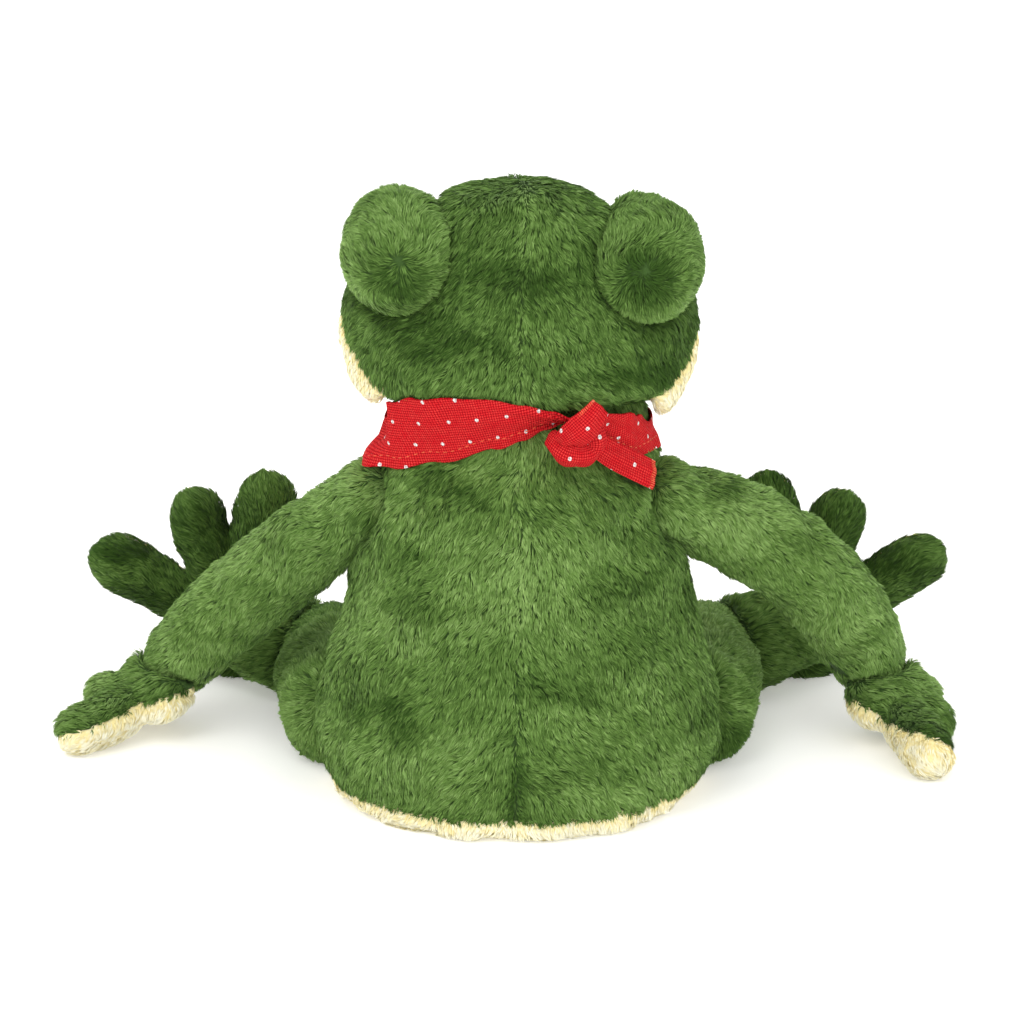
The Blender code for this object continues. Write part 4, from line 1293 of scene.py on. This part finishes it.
@dataclass
class PlushFrog:
    """All the sewn forms of the frog, in the order that they are dressed."""

    finishes: Finishes
    forms: list[Plush] = field(default_factory=list)
    fine_voxel: float = 1.4 * MM
    fine_softness: int = 4
    head_comb_shift: float = 10.0 * MM
    hand_comb_rise: float = 24.0 * MM
    foot_comb_rise: float = 20.0 * MM
    tuck_share: float = 0.15
    pole_share: float = 0.15
    left_hollow_share: float = 0.24
    right_hollow_share: float = 0.05
    margin: float = 4.0 * MM

    def plan(self) -> None:
        """List the forms with their cloths and combs."""
        green, cream = Cloth.GREEN, Cloth.CREAM
        # Tone shifts per form: a little painted light on the trunk, painted shade on the head.
        self.forms.append(Plush(
            "trunk", {"body_cover_left": green, "body_cover_right": green, "belly_panel": cream},
            falling(0.9), core=("body_filling", "pellet_pouch"), crease=0.7 * MM, sag=1.0 * MM,
            seam_depth=0.3 * MM, reach={"belly_panel": 2.2 * MM}, painted_light_shift=0.03, seed=11))
        self.forms.append(Plush(
            "head", {"head_cover_left": green, "head_cover_right": green, "jaw_panel": cream},
            falling(0.8, REAR * -self.head_comb_shift), core=("head_filling",),
            seam_depth=0.3 * MM, reach={"jaw_panel": 5.4 * MM}, painted_light_shift=-0.18, seed=23))
        for side in Side:
            self.plan_side(side, green, cream)

    def plan_side(self, side: Side, green: Cloth, cream: Cloth) -> None:
        """List one side's eye dome and limbs.

        Args:
            side: The side.
            green: The cloth of the back.
            cream: The cloth of the palms and soles.
        """
        word = side.word
        seed = 40 + 20 * side.value
        places = {name: joint_place(f"{word}_{name}")
                  for name in ("shoulder", "wrist", "hip", "knee", "ankle")}
        fine = {"voxel": self.fine_voxel, "softness": self.fine_softness}
        low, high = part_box(word + "_eye_dome")
        tall = high.z - low.z
        pole = (low + high) / 2
        pole.y = high.y
        pole.z += tall * self.pole_share
        depth = self.left_hollow_share if side is Side.LEFT else self.right_hollow_share
        # Tone shifts: painted shade on the eye dome and foot, painted light on the arm and hand.
        self.forms.append(Plush(
            "head", {word + "_eye_dome": green}, spreading(pole, 0.5 * side.value, REAR),
            crease=0.5 * MM, drift=1.1, painted_light_shift=-0.10, hollow=pole - UP * (tall * depth),
            seed=seed, **fine))
        self.forms.append(Plush(
            word + "_arm", {word + "_arm": green},
            running(places["shoulder"], places["wrist"], 0.25), painted_light_shift=0.16, seed=seed + 1))
        up_arm = (places["shoulder"] - places["wrist"]).normalized() * self.hand_comb_rise
        reach = {"left_palm": 1.6 * MM, "right_hand_back": 6.5 * MM}
        self.forms.append(Plush(
            word + "_hand", {word + "_hand_back": green, word + "_palm": cream},
            spreading(places["wrist"] + up_arm), crease=0.4 * MM, painted_light_shift=0.12, reach=reach,
            tuck=places["wrist"] + up_arm * self.tuck_share, seed=seed + 2, **fine))
        self.forms.append(Plush(
            word + "_thigh", {word + "_thigh": green},
            running(places["hip"], places["knee"], 0.5), crease=0.8 * MM, seed=seed + 3))
        self.forms.append(Plush(
            word + "_shin", {word + "_shin": green},
            running(places["knee"], places["ankle"], 0.3), seed=seed + 4))
        up_shin = (places["knee"] - places["ankle"]).normalized() * self.foot_comb_rise
        self.forms.append(Plush(
            word + "_foot", {word + "_foot_back": green, word + "_sole": cream},
            spreading(places["ankle"] + up_shin), crease=0.4 * MM,
            reach={word + "_foot_back": 2.4 * MM}, painted_light_shift=-0.26, seed=seed + 5, **fine))

    def build(self) -> None:
        """Shape every form, lay the kerchief on, and grow the pile clear of both."""
        self.plan()
        solids = {id(form): tree_of(*(frame["nodes"][name].data for name in form.cloths))
                  for form in self.forms}
        near = {id(form): [other for other in self.forms
                           if other is not form and self.close(form, other)]
                for form in self.forms}
        for form in self.forms:
            form.shape([solids[id(other)] for other in near[id(form)]])
        trees = {id(form): tree_of(form.whole) for form in self.forms}
        kerchief = Kerchief(*(trees[id(form)] for form in self.forms[:2]))
        kerchief.build(self.finishes)
        face = Face(trees[id(self.forms[1])])
        face.build(self.finishes)
        hard = [tree_of(frame["nodes"][name].data) for name in ("left_eye", "right_eye")]
        for form in self.forms:
            others = [trees[id(other)] for other in near[id(form)]]
            sewn = face.covers if form is self.forms[1] else []
            form.build(self.finishes, others + hard, kerchief.covers + sewn)

    def close(self, form: Plush, other: Plush) -> bool:
        """Whether two forms' boxes come near each other.

        Args:
            form: One form.
            other: Another form.

        Returns:
            True if they do.
        """
        boxes = []
        for each in (form, other):
            pairs = [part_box(name) for name in each.cloths]
            low = [min(pair[0][axis] for pair in pairs) - self.margin for axis in range(3)]
            high = [max(pair[1][axis] for pair in pairs) + self.margin for axis in range(3)]
            boxes.append((low, high))
        (low, high), (other_low, other_high) = boxes
        return all(low[i] < other_high[i] and other_low[i] < high[i] for i in range(3))


# Kerchief

@dataclass
class Strip:
    """A narrow length of the kerchief's cloth, bent along a path."""

    name: str
    path: list[Vector]
    outward: list[Vector]
    widths: list[float]
    curl: float = 0.6
    pleats: float = 0.25 * MM
    columns: int = 18
    rows: int = 44
    thickness: float = 0.8 * MM
    pleat_turn: float = 7.0
    pleat_slant: float = 3.0
    look_share: float = 0.05

    def point(self, along: float, across: float) -> Vector:
        """Find a place on the strip.

        Args:
            along: From 0 at the start to 1 at the end.
            across: From -1 to 1.

        Returns:
            The place.
        """
        last = len(self.path) - 1
        spot = min(max(along, 0.0), 1.0) * last
        index = min(int(spot), last - 1)
        share = spot - index
        before = self.path[max(index - 1, 0)]
        first, second = self.path[index], self.path[index + 1]
        after = self.path[min(index + 2, last)]
        place = curve(before, first, second, after, share)
        onward = (curve(before, first, second, after, min(share + self.look_share, 1.0))
                  - curve(before, first, second, after, max(share - self.look_share, 0.0)))
        out = self.outward[index].lerp(self.outward[index + 1], share).normalized()
        sideways = onward.cross(out).normalized()
        out = sideways.cross(onward).normalized()
        half = self.widths[index] + (self.widths[index + 1] - self.widths[index]) * share
        turn = self.curl * across
        step = sideways * (math.sin(turn) / self.curl) - out * ((1 - math.cos(turn)) / self.curl)
        pleat = math.sin(across * self.pleat_turn + along * self.pleat_slant) * self.pleats
        return place + step * (half / 2) + out * pleat

    def build(self) -> Object:
        """Make the strip.

        Returns:
            The piece, with its flat map.
        """
        bm = bmesh.new()
        flat = bm.loops.layers.uv.new("flat")
        bmesh.ops.create_grid(bm, x_segments=self.columns, y_segments=self.rows, size=1.0)
        spots = {vert: (vert.co.x, (vert.co.y + 1) / 2) for vert in bm.verts}
        reach = sum((b - a).length for a, b in zip(self.path, self.path[1:]))
        for face in bm.faces:
            for loop in face.loops:
                across, along = spots[loop.vert]
                loop[flat].uv = (across * max(self.widths) / 2, along * reach)
        for vert, (across, along) in spots.items():
            vert.co = self.point(along, across)
        strip = object_of(self.name, bm)
        wall = strip.modifiers.new("wall", "SOLIDIFY")
        wall.thickness = self.thickness
        wall.offset = 0.0
        with_modifiers(strip)
        strip.data.shade_smooth()
        return strip


def curve(before: Vector, first: Vector, second: Vector, after: Vector, share: float) -> Vector:
    """Find a point of a smooth curve through four points.

    Args:
        before: The point before the stretch.
        first: Its start.
        second: Its end.
        after: The point after it.
        share: How far along the stretch.

    Returns:
        The point.
    """
    square, cube = share * share, share * share * share
    return 0.5 * (first * 2 + (second - before) * share
                  + (before * 2 - first * 5 + second * 4 - after) * square
                  + (first * 3 - before - second * 3 + after) * cube)


@dataclass(frozen=True)
class Wave:
    """A row of soft folds in the kerchief, its turns in radians over the whole cloth."""

    along: float
    rise: float
    height: float = 0.0
    at_knot: float = 0.0
    in_gathers: float = 0.0


@dataclass
class Kerchief:
    """A red dotted kerchief round the neck, knotted behind on the right."""

    trunk: BVHTree
    head: BVHTree
    knot_turn: float = math.radians(24.0)
    top: float = 157.0 * MM
    lift: float = 1.3 * MM
    thickness: float = 0.8 * MM
    columns: int = 260
    rows: int = 34
    hem_inset: float = 4.3 * MM
    stitch_length: float = 1.9 * MM
    stitch_gap: float = 1.3 * MM
    weave_turn: float = math.radians(11.0)
    covers: list[BVHTree] = field(default_factory=list)
    hem_shares: tuple[tuple[float, float], ...] = (
        (0.000, 0.965), (0.025, 0.952), (0.060, 0.930), (0.098, 0.908), (0.183, 0.862),
        (0.250, 0.822), (0.300, 0.800), (0.350, 0.790), (0.440, 0.670), (0.530, 0.570),
        (0.640, 0.690), (0.760, 0.815), (0.880, 0.842), (0.950, 0.900), (1.000, 0.950))
    top_shares: tuple[tuple[float, float], ...] = (
        (0.000, 0.992), (0.025, 1.012), (0.060, 1.030), (0.100, 1.040), (0.150, 1.036),
        (0.200, 1.020), (0.240, 0.990), (0.280, 0.935), (0.310, 0.905), (0.500, 0.900),
        (0.830, 0.900), (0.880, 0.945), (0.920, 0.975), (0.960, 0.990), (1.000, 0.992))
    lean: float = 0.6 * MM
    flare: float = 8.0 * MM
    flare_share: float = 0.300
    flare_rise: float = 0.50
    fold: float = 2.2 * MM
    head_room: float = 1.6 * MM
    head_level: float = 160.0 * MM
    tuck_level: float = 143.0 * MM
    ray_start: float = 150.0 * MM
    highest_hit: float = 155.0 * MM
    knot_share: float = 0.045
    knot_rise: float = 1.0 * MM
    gather_share: float = 0.085
    waves: tuple[Wave, ...] = (
        Wave(14.0, 9.0, height=0.25 * MM, at_knot=0.50 * MM),
        Wave(-36.0, 19.0, in_gathers=0.55 * MM),
        Wave(95.0, 4.0, height=0.25 * MM, at_knot=-0.25 * MM),
        Wave(41.0, 7.0, height=0.35 * MM, at_knot=-0.35 * MM))
    flare_width_share: float = 0.042
    crease_start_share: float = 0.055
    crease_end_share: float = 0.04
    crease_end_depth_share: float = 0.7
    crease_line_share: float = 0.50
    crease_slope: float = 1.2
    crease_slope_share: float = 0.1
    crease_edge_share: float = 0.035
    girth_steps: int = 60
    girth_share: float = 0.8
    stitched_share: float = 0.94
    stitch_start_share: float = 0.03
    stitch_stand_share: float = 0.55
    stitch_half: float = 0.22 * MM
    overlock_pitch: float = 0.75 * MM
    overlock_length: float = 1.2 * MM
    overlock_half: float = 0.26 * MM
    overlock_stand_share: float = 0.6
    overlock_end_shares: tuple[float, float] = (0.92, 1.02)
    overlock_side_shares: tuple[float, float] = (0.72, 1.06)
    overlock_slant_share: float = 0.03
    area: float = 0.0
    girth: float = 0.0
    drop: float = 0.0

    def direction(self, turn: float) -> Vector:
        """The level direction at a turn to the left, counted from the knot."""
        angle = turn - self.knot_turn
        return Vector((math.sin(angle), math.cos(angle), 0.0))

    def share_at(self, shares: tuple[tuple[float, float], ...], where: float) -> float:
        """Read a table of shares smoothly.

        Args:
            shares: Pairs of place and value, in order of place.
            where: The place.

        Returns:
            The value there.
        """
        for (start, low), (end, high) in zip(shares, shares[1:]):
            if start <= where <= end:
                part = (where - start) / (end - start)
                return low + (high - low) * (1 - math.cos(math.pi * part)) / 2
        return shares[-1][1]

    def on_trunk(self, turn: float, height: float, lift: float) -> Vector:
        """Find a place on or off the trunk's skin.

        Args:
            turn: The turn from the knot, in radians.
            height: The height above the ground.
            lift: The distance outside the skin.

        Returns:
            The place.
        """
        way = self.direction(turn)
        level = min(height, self.highest_hit)
        hit = self.trunk.ray_cast(way * self.ray_start + UP * level, -way)[0]
        return hit + way * lift + UP * (height - level)

    def off_head(self, place: Vector, turn: float) -> Vector:
        """Draw a place out until it clears the head's skin and pile.

        Args:
            place: A place on the cloth.
            turn: Its turn from the knot, in radians.

        Returns:
            The place, or the nearest one straight outwards that is clear.
        """
        way = self.direction(turn)
        level = max(place.z, self.head_level)
        hit = self.head.ray_cast(way * self.ray_start + UP * level, -way)[0]
        if hit is None:
            return place
        radius = (place - UP * place.z).dot(way)
        needed = (hit - UP * hit.z).dot(way) + self.head_room
        share = min(max((place.z - self.tuck_level) / (self.head_level - self.tuck_level), 0.0), 1.0)
        share = share * share * (3.0 - 2.0 * share)
        return place + way * (max(0.0, needed - radius) * share)

    def cloth_place(self, along: float, rise: float) -> Vector:
        """Find a place on the cloth.

        Args:
            along: The share of the full turn from the knot.
            rise: From 0 at the hem to 1 at the top edge.

        Returns:
            The place.
        """
        turn = math.tau * along
        hem = self.top * self.share_at(self.hem_shares, along)
        crest = self.top * self.share_at(self.top_shares, along)
        low = self.on_trunk(turn, hem, self.lift)
        high = self.off_head(self.on_trunk(turn, crest, self.lift + self.lean), turn)
        place = low.lerp(high, rise)
        way = self.direction(turn)
        skin = self.on_trunk(turn, place.z, self.lift)
        place += way * max(0.0, (skin - place).dot(way))
        from_knot = min(along, 1 - along)
        near_knot = math.exp(-(from_knot / self.knot_share) ** 2)
        gathers = math.exp(-(from_knot / self.gather_share) ** 2)
        fold = sum(math.sin(along * wave.along + rise * wave.rise)
                   * (wave.height + wave.at_knot * near_knot + wave.in_gathers * gathers)
                   for wave in self.waves)
        corner = math.exp(-((along - self.flare_share) / self.flare_width_share) ** 2)
        fold += self.flare * corner * max(0.0, 1 - rise / self.flare_rise)
        crease = (math.exp(-along / self.crease_start_share)
                  + self.crease_end_depth_share * math.exp(-(1 - along) / self.crease_end_share))
        line = self.crease_line_share - self.crease_slope * min(along, self.crease_slope_share)
        fold += self.fold * crease / (1 + math.exp(-(rise - line) / self.crease_edge_share))
        return place + way * (fold + self.knot_rise * near_knot)

    def cloth(self, finishes: "Finishes") -> Object:
        """Lay the band of cloth round the neck.

        Args:
            finishes: The materials.

        Returns:
            The piece.
        """
        bm = bmesh.new()
        flat = bm.loops.layers.uv.new("flat")
        bmesh.ops.create_grid(bm, x_segments=self.columns, y_segments=self.rows, size=1.0)
        shares = {vert: ((vert.co.x + 1) / 2, (vert.co.y + 1) / 2) for vert in bm.verts}
        for vert, (along, rise) in shares.items():
            vert.co = self.cloth_place(along, rise)
        turned = Matrix.Rotation(self.weave_turn, 2)
        ring = [self.cloth_place(i / self.girth_steps, self.girth_share)
                for i in range(self.girth_steps + 1)]
        self.girth = sum((after - before).length for before, after in zip(ring, ring[1:]))
        for face in bm.faces:
            for loop in face.loops:
                along = shares[loop.vert][0]
                loop[flat].uv = turned @ Vector((along * self.girth, loop.vert.co.z))
        self.area = sum(face.calc_area() for face in bm.faces)
        self.drop = self.top * (1 - min(share for _, share in self.hem_shares))
        bmesh.ops.remove_doubles(bm, verts=bm.verts, dist=MERGE)
        bmesh.ops.recalc_face_normals(bm, faces=bm.faces)
        cloth = object_of("kerchief_cloth", bm)
        wall = cloth.modifiers.new("wall", "SOLIDIFY")
        wall.thickness = self.thickness
        wall.offset = 0.0
        with_modifiers(cloth)
        cloth.data.shade_smooth()
        dress(cloth, finishes.cotton, "trunk")
        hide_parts("kerchief")
        self.covers.append(tree_of(cloth.data))
        return cloth

    def stitches(self, thread: Material) -> Object:
        """Sew the hem's running stitches.

        Args:
            thread: The thread's material.

        Returns:
            The piece.
        """
        bm = bmesh.new()
        pitch = (self.stitch_length + self.stitch_gap) / self.girth
        count = int(self.stitched_share / pitch)
        for index in range(count):
            start = self.stitch_start_share + index * pitch
            ends = []
            for along in (start, start + self.stitch_length / self.girth):
                low, high = self.cloth_place(along, 0.0), self.cloth_place(along, 1.0)
                rise = self.hem_inset / max((high - low).length, self.hem_inset)
                stand = self.direction(math.tau * along) * (self.thickness * self.stitch_stand_share)
                ends.append(self.cloth_place(along, rise) + stand)
            add_stitch(bm, *ends, (ends[1] - ends[0]).length / 2, self.stitch_half)
        sewn = object_of("kerchief_stitches", bm)
        sewn.data.shade_smooth()
        dress(sewn, thread, "trunk")
        return sewn

    def knot_frame(self) -> tuple[Vector, Vector, Vector]:
        """The knot's middle, the way to the left along the neck and the way out."""
        low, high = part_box("kerchief_knot")
        out = self.direction(0.0)
        left = Vector((out.y, -out.x, 0.0))
        return (low + high) / 2, left, out

    def at_knot(self, left: float, rise: float, out: float) -> Vector:
        """Find a place by its millimetres from the knot's middle.

        Args:
            left: To the frog's left along the neck.
            rise: Upwards.
            out: Away from the neck.

        Returns:
            The place.
        """
        middle, aside, away = self.knot_frame()
        return middle + (aside * left + UP * rise + away * out) * MM

    def strip(self, name: str, places: list[tuple[float, float, float]],
              facing: list[tuple[float, float, float]], widths: list[float],
              curl: float) -> Strip:
        """Set out a strip by places near the knot.

        Args:
            name: The piece's name.
            places: Its path, in millimetres from the knot's middle.
            facing: Its outward way at each place.
            widths: Its width at each place, in millimetres.
            curl: How far its edges turn back, in radians.

        Returns:
            The strip.
        """
        middle = self.knot_frame()[0]
        return Strip(name, [self.at_knot(*place) for place in places],
                     [self.at_knot(*way) - middle for way in facing],
                     [width * MM for width in widths], curl)

    def knot(self, finishes: "Finishes") -> list[Object]:
        """Tie the knot from its wraps and ends.

        Args:
            finishes: The materials.

        Returns:
            The pieces.
        """
        wrap = self.strip(
            "kerchief_knot_wrap",
            [(-2.0, 7.0, -3.0), (-4.0, 7.5, 2.0), (-6.0, 5.0, 5.5), (-7.0, 0.0, 7.0), (-6.0, -4.5, 5.5),
             (-4.5, -6.5, 1.0), (-3.5, -6.0, -4.0)],
            [(0, 1, 0), (0, 1, 0.5), (-0.2, 0.6, 1), (-0.3, 0, 1), (-0.2, -0.6, 1), (0, -1, 0.3),
             (0, -1, 0)],
            [9.0, 10.0, 11.0, 11.0, 10.5, 9.5, 9.0], 1.0)
        bulge = self.strip(
            "kerchief_knot_bulge",
            [(9.0, 0.0, -4.0), (8.6, -1.5, 2.0), (5.8, -3.4, 6.4), (1.2, -4.4, 7.8), (-4.0, -4.4, 7.4),
             (-8.5, -2.6, 4.0), (-10.5, -1.0, -2.0)],
            [(1, 0, 0.3), (0.9, -0.1, 1), (0.3, -0.2, 1), (0, -0.3, 1), (-0.3, -0.2, 1),
             (-1, 0, 0.7), (-1, 0, 0.2)],
            [10.0, 12.0, 13.0, 11.5, 13.0, 11.5, 9.0], 1.2)
        upper = self.strip(
            "kerchief_end_upper",
            [(7.0, 1.0, 4.0), (4.6, 3.6, 8.0), (1.2, 6.8, 10.4), (-2.8, 10.6, 10.8), (-6.8, 14.4, 9.2)],
            [(0.3, -0.3, 1), (0.1, 0, 1), (-0.1, 0.1, 1), (-0.3, 0.2, 1), (-0.4, 0.4, 1)],
            [7.5, 12.0, 14.0, 12.5, 9.5], 0.75)
        pieces = [(wrap, "kerchief_knot"), (bulge, None), (upper, "kerchief_tail_upper")]
        made = []
        for strip, node in pieces:
            piece = strip.build()
            dress(piece, finishes.cotton, "trunk")
            if node:
                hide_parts(node)
            made.append(piece)
        made.append(self.overlock(upper, finishes.red_thread, (0.18, 1.0), -1.0))
        return made

    def lower_end(self, finishes: "Finishes") -> list[Object]:
        """Lay the long end down over the shoulder.

        Args:
            finishes: The materials.

        Returns:
            The pieces.
        """
        shares = ((-0.010, 0.952, 7.5, 6.5), (-0.032, 0.922, 6.8, 9.0), (-0.061, 0.882, 6.0, 10.4),
                  (-0.090, 0.845, 5.6, 10.8), (-0.117, 0.808, 5.6, 11.0))
        path = [self.on_trunk(math.tau * turn, self.top * height, self.lift + out * MM)
                for turn, height, out, _ in shares]
        ways = [self.direction(math.tau * turn) + UP * 0.25 for turn, *_ in shares]
        strip = Strip("kerchief_end_lower", path, ways, [width * MM for *_, width in shares], 0.35)
        piece = strip.build()
        dress(piece, finishes.cotton, "trunk")
        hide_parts("kerchief_tail_lower")
        edge = self.overlock(strip, finishes.red_thread, (-1.0, 1.0), None)
        self.covers.append(tree_of(piece.data))
        return [piece, edge]

    def overlock(self, strip: Strip, thread: Material, reach: tuple[float, float],
                 across: float | None) -> Object:
        """Whip an edge of a strip with thread.

        Args:
            strip: The strip.
            thread: The thread's material.
            reach: Where the stitches start and stop, along the strip or across its end.
            across: The side edge, or None for the far end.

        Returns:
            The piece.
        """
        bm = bmesh.new()
        start, end = reach
        span = (strip.point(1.0, 1.0) - strip.point(start if across else 1.0,
                                                    across if across else -1.0)).length
        count = max(4, int(span / self.overlock_pitch))
        out = strip.outward[-1].normalized() * (strip.thickness * self.overlock_stand_share)
        for index in range(count):
            share = start + (end - start) * (index + 0.5) / count
            if across is None:
                inner, outer = (strip.point(along, share) for along in self.overlock_end_shares)
            else:
                near, far = (across * side for side in self.overlock_side_shares)
                inner = strip.point(share, near)
                outer = strip.point(min(share + self.overlock_slant_share, 1.0), far)
            half = max((outer - inner).length, self.overlock_length) / 2
            add_stitch(bm, inner + out, outer + out, half, self.overlock_half)
        sewn = object_of(strip.name + "_overlock", bm)
        sewn.data.shade_smooth()
        dress(sewn, thread, "trunk")
        return sewn

    def build(self, finishes: "Finishes") -> None:
        """Lay the cloth, sew its hem and tie it.

        Args:
            finishes: The materials.
        """
        cloth = self.cloth(finishes)
        pieces = [self.stitches(finishes.red_thread)]
        pieces += self.knot(finishes)
        pieces += self.lower_end(finishes)


# Face

@dataclass
class Face:
    """A sewn smile and two nostrils on the front of the head."""

    head: BVHTree
    half_width: float = 36.0 * MM
    height: float = 168.0 * MM
    rise: float = 9.0 * MM
    nostril_out: float = 5.0 * MM
    nostril_height: float = 186.0 * MM
    stitches: int = 26
    overlap: float = 1.25
    thread: float = 0.75 * MM
    stand_off: float = 1.5 * MM
    ray_start: float = 200.0 * MM
    nostril_slant_share: float = 1.3
    nostril_thick_share: float = 1.2
    facets: tuple[int, int] = (10, 6)
    covers: list[BVHTree] = field(default_factory=list)

    def on_head(self, across: float, height: float) -> tuple[Vector, Vector] | None:
        """Find a place on the front of the head.

        Args:
            across: The distance to the frog's left of the middle.
            height: The height above the ground.

        Returns:
            The place, a little off the skin, and the way out there, or None beside the head.
        """
        spot, way, _, _ = self.head.ray_cast(Vector((across, -self.ray_start, height)), REAR)
        if spot is None:
            return None
        return spot + way * self.stand_off, way

    def smile(self, share: float) -> tuple[Vector, Vector] | None:
        """Find a place on the smile.

        Args:
            share: From -1 at its right end to 1 at its left end.

        Returns:
            The place and the way out there.
        """
        return self.on_head(share * self.half_width, self.height + self.rise * share * share)

    def stitch(self, bm: bmesh.types.BMesh, start: Vector, end: Vector, thick: float) -> None:
        """Add one stitch, a little longer than the way between its two places."""
        add_stitch(bm, start, end, (end - start).length / 2 * self.overlap, thick, self.facets)

    def build(self, finishes: "Finishes") -> None:
        """Sew the smile and the nostrils.

        Args:
            finishes: The materials.
        """
        bm = bmesh.new()
        ends = [self.smile(2 * index / self.stitches - 1) for index in range(self.stitches + 1)]
        for start, end in zip(ends, ends[1:]):
            if start is not None and end is not None:
                self.stitch(bm, start[0], end[0], self.thread)
        for side in Side:
            across = self.nostril_out * side.value
            low = self.on_head(across, self.nostril_height)
            high = self.on_head(across * self.nostril_slant_share,
                                self.nostril_height + 2 * self.thread)
            if low is not None and high is not None:
                self.stitch(bm, low[0], high[0], self.thread * self.nostril_thick_share)
        sewn = object_of("sewn_face", bm)
        sewn.data.shade_smooth()
        dress(sewn, finishes.black_thread, "head")
        self.covers.append(tree_of(sewn.data))


# Carried-over solids

def dress_inner_nodes() -> None:
    """Give the eyes, washers, fillings and pouch their finishes."""
    wears = {
        EYE_PLASTIC: ("left_eye", "right_eye"),
        WASHER_PLASTIC: ("left_eye_washer", "right_eye_washer"),
        FIBRE: ("body_filling", "head_filling"),
        POUCH_COTTON: ("pellet_pouch",),
    }
    for finish, names in wears.items():
        material = finish.material()
        for name in names:
            node = frame["nodes"][name]
            for index in range(max(1, len(node.material_slots))):
                if node.material_slots:
                    node.material_slots[index].material = material
                else:
                    node.data.materials.append(material)
            LOG.info("%s: wears %s", name, finish.name)


# Studio

@dataclass(frozen=True)
class Lamp:
    """A soft square light."""

    name: str
    place: tuple[float, float, float]
    size: float
    power: float
    tint: tuple[float, float, float]

    def hang(self, aim: Vector) -> None:
        """Hang the light so that it looks at a place.

        Args:
            aim: The place.
        """
        data = bpy.data.lights.new(self.name, "AREA")
        data.size = self.size
        data.energy = self.power
        data.color = self.tint
        lamp = bpy.data.objects.new(self.name, data)
        lamp.location = self.place
        lamp.rotation_euler = (aim - Vector(self.place)).to_track_quat("-Z", "Y").to_euler()
        bpy.context.scene.collection.objects.link(lamp)


LAMPS = (
    Lamp("key", place=(0.9, 1.1, 1.9), size=1.6, power=20.0, tint=(1.0, 0.99, 0.97)),
    Lamp("fill", place=(-1.3, 1.2, 1.1), size=1.8, power=9.0, tint=(0.98, 0.99, 1.0)),
    Lamp("front", place=(0.1, -1.6, 1.3), size=1.6, power=9.0, tint=(1.0, 1.0, 1.0)),
)


@dataclass
class Studio:
    """A pale floor, soft lights and the camera at the photograph's place."""

    elevation: float = math.radians(20.0)
    distance: float = 2.5
    pixel: float = 0.36 * MM
    rear: float = 66.0 * MM
    middle_column: float = 518.0
    rear_row: float = 848.0
    frame_pixels: float = 1024.0
    sensor: float = 36.0
    farthest: float = 20.0
    floor_half: float = 6.0
    aim_height: float = 80.0 * MM
    white: Colour = (1.0, 1.0, 1.0, 1.0)
    glow: Colour = (1.0, 0.985, 0.94, 1.0)
    glow_strength: float = 0.30

    def camera(self) -> None:
        """Place the camera so that the rear of the seat falls where the photograph has it."""
        out = Vector((0.0, math.cos(self.elevation), math.sin(self.elevation)))
        rise = Vector((0.0, -math.sin(self.elevation), math.cos(self.elevation)))
        half = self.frame_pixels / 2
        target = REAR * self.rear
        target += Vector((1.0, 0.0, 0.0)) * ((self.middle_column - half) * self.pixel)
        target += rise * ((self.rear_row - half) * self.pixel)
        data = bpy.data.cameras.new("camera")
        data.sensor_width = self.sensor
        data.lens = self.sensor * self.distance / (self.frame_pixels * self.pixel)
        data.clip_end = self.farthest
        camera = bpy.data.objects.new("camera", data)
        camera.location = target + out * self.distance
        camera.rotation_euler = (math.pi / 2 - self.elevation, 0.0, math.pi)
        bpy.context.scene.collection.objects.link(camera)
        bpy.context.scene.camera = camera

    def floor(self) -> None:
        """Lay the floor."""
        bm = bmesh.new()
        bmesh.ops.create_grid(bm, x_segments=2, y_segments=2, size=self.floor_half)
        floor = object_of("floor", bm)
        material = PALE_FLOOR.material()
        shader = material.node_tree.nodes["Principled BSDF"]
        shader.inputs["Emission Color"].default_value = self.glow
        shader.inputs["Emission Strength"].default_value = self.glow_strength
        floor.data.materials.append(material)

    def build(self) -> None:
        """Set up the floor, the lights, the world and the camera."""
        self.floor()
        for lamp in LAMPS:
            lamp.hang(UP * self.aim_height)
        world = bpy.data.worlds.new("studio")
        world.use_nodes = True
        ground = world.node_tree.nodes["Background"]
        ground.inputs["Color"].default_value = self.white
        ground.inputs["Strength"].default_value = 1.0
        bpy.context.scene.world = world
        bpy.context.scene.view_settings.view_transform = "Standard"
        self.camera()


def main() -> None:
    """Dress the frog and set up its studio."""
    finishes = Finishes()
    finishes.build()
    dress_inner_nodes()
    PlushFrog(finishes).build()
    Studio().build()


if __name__ == "__main__":
    main()
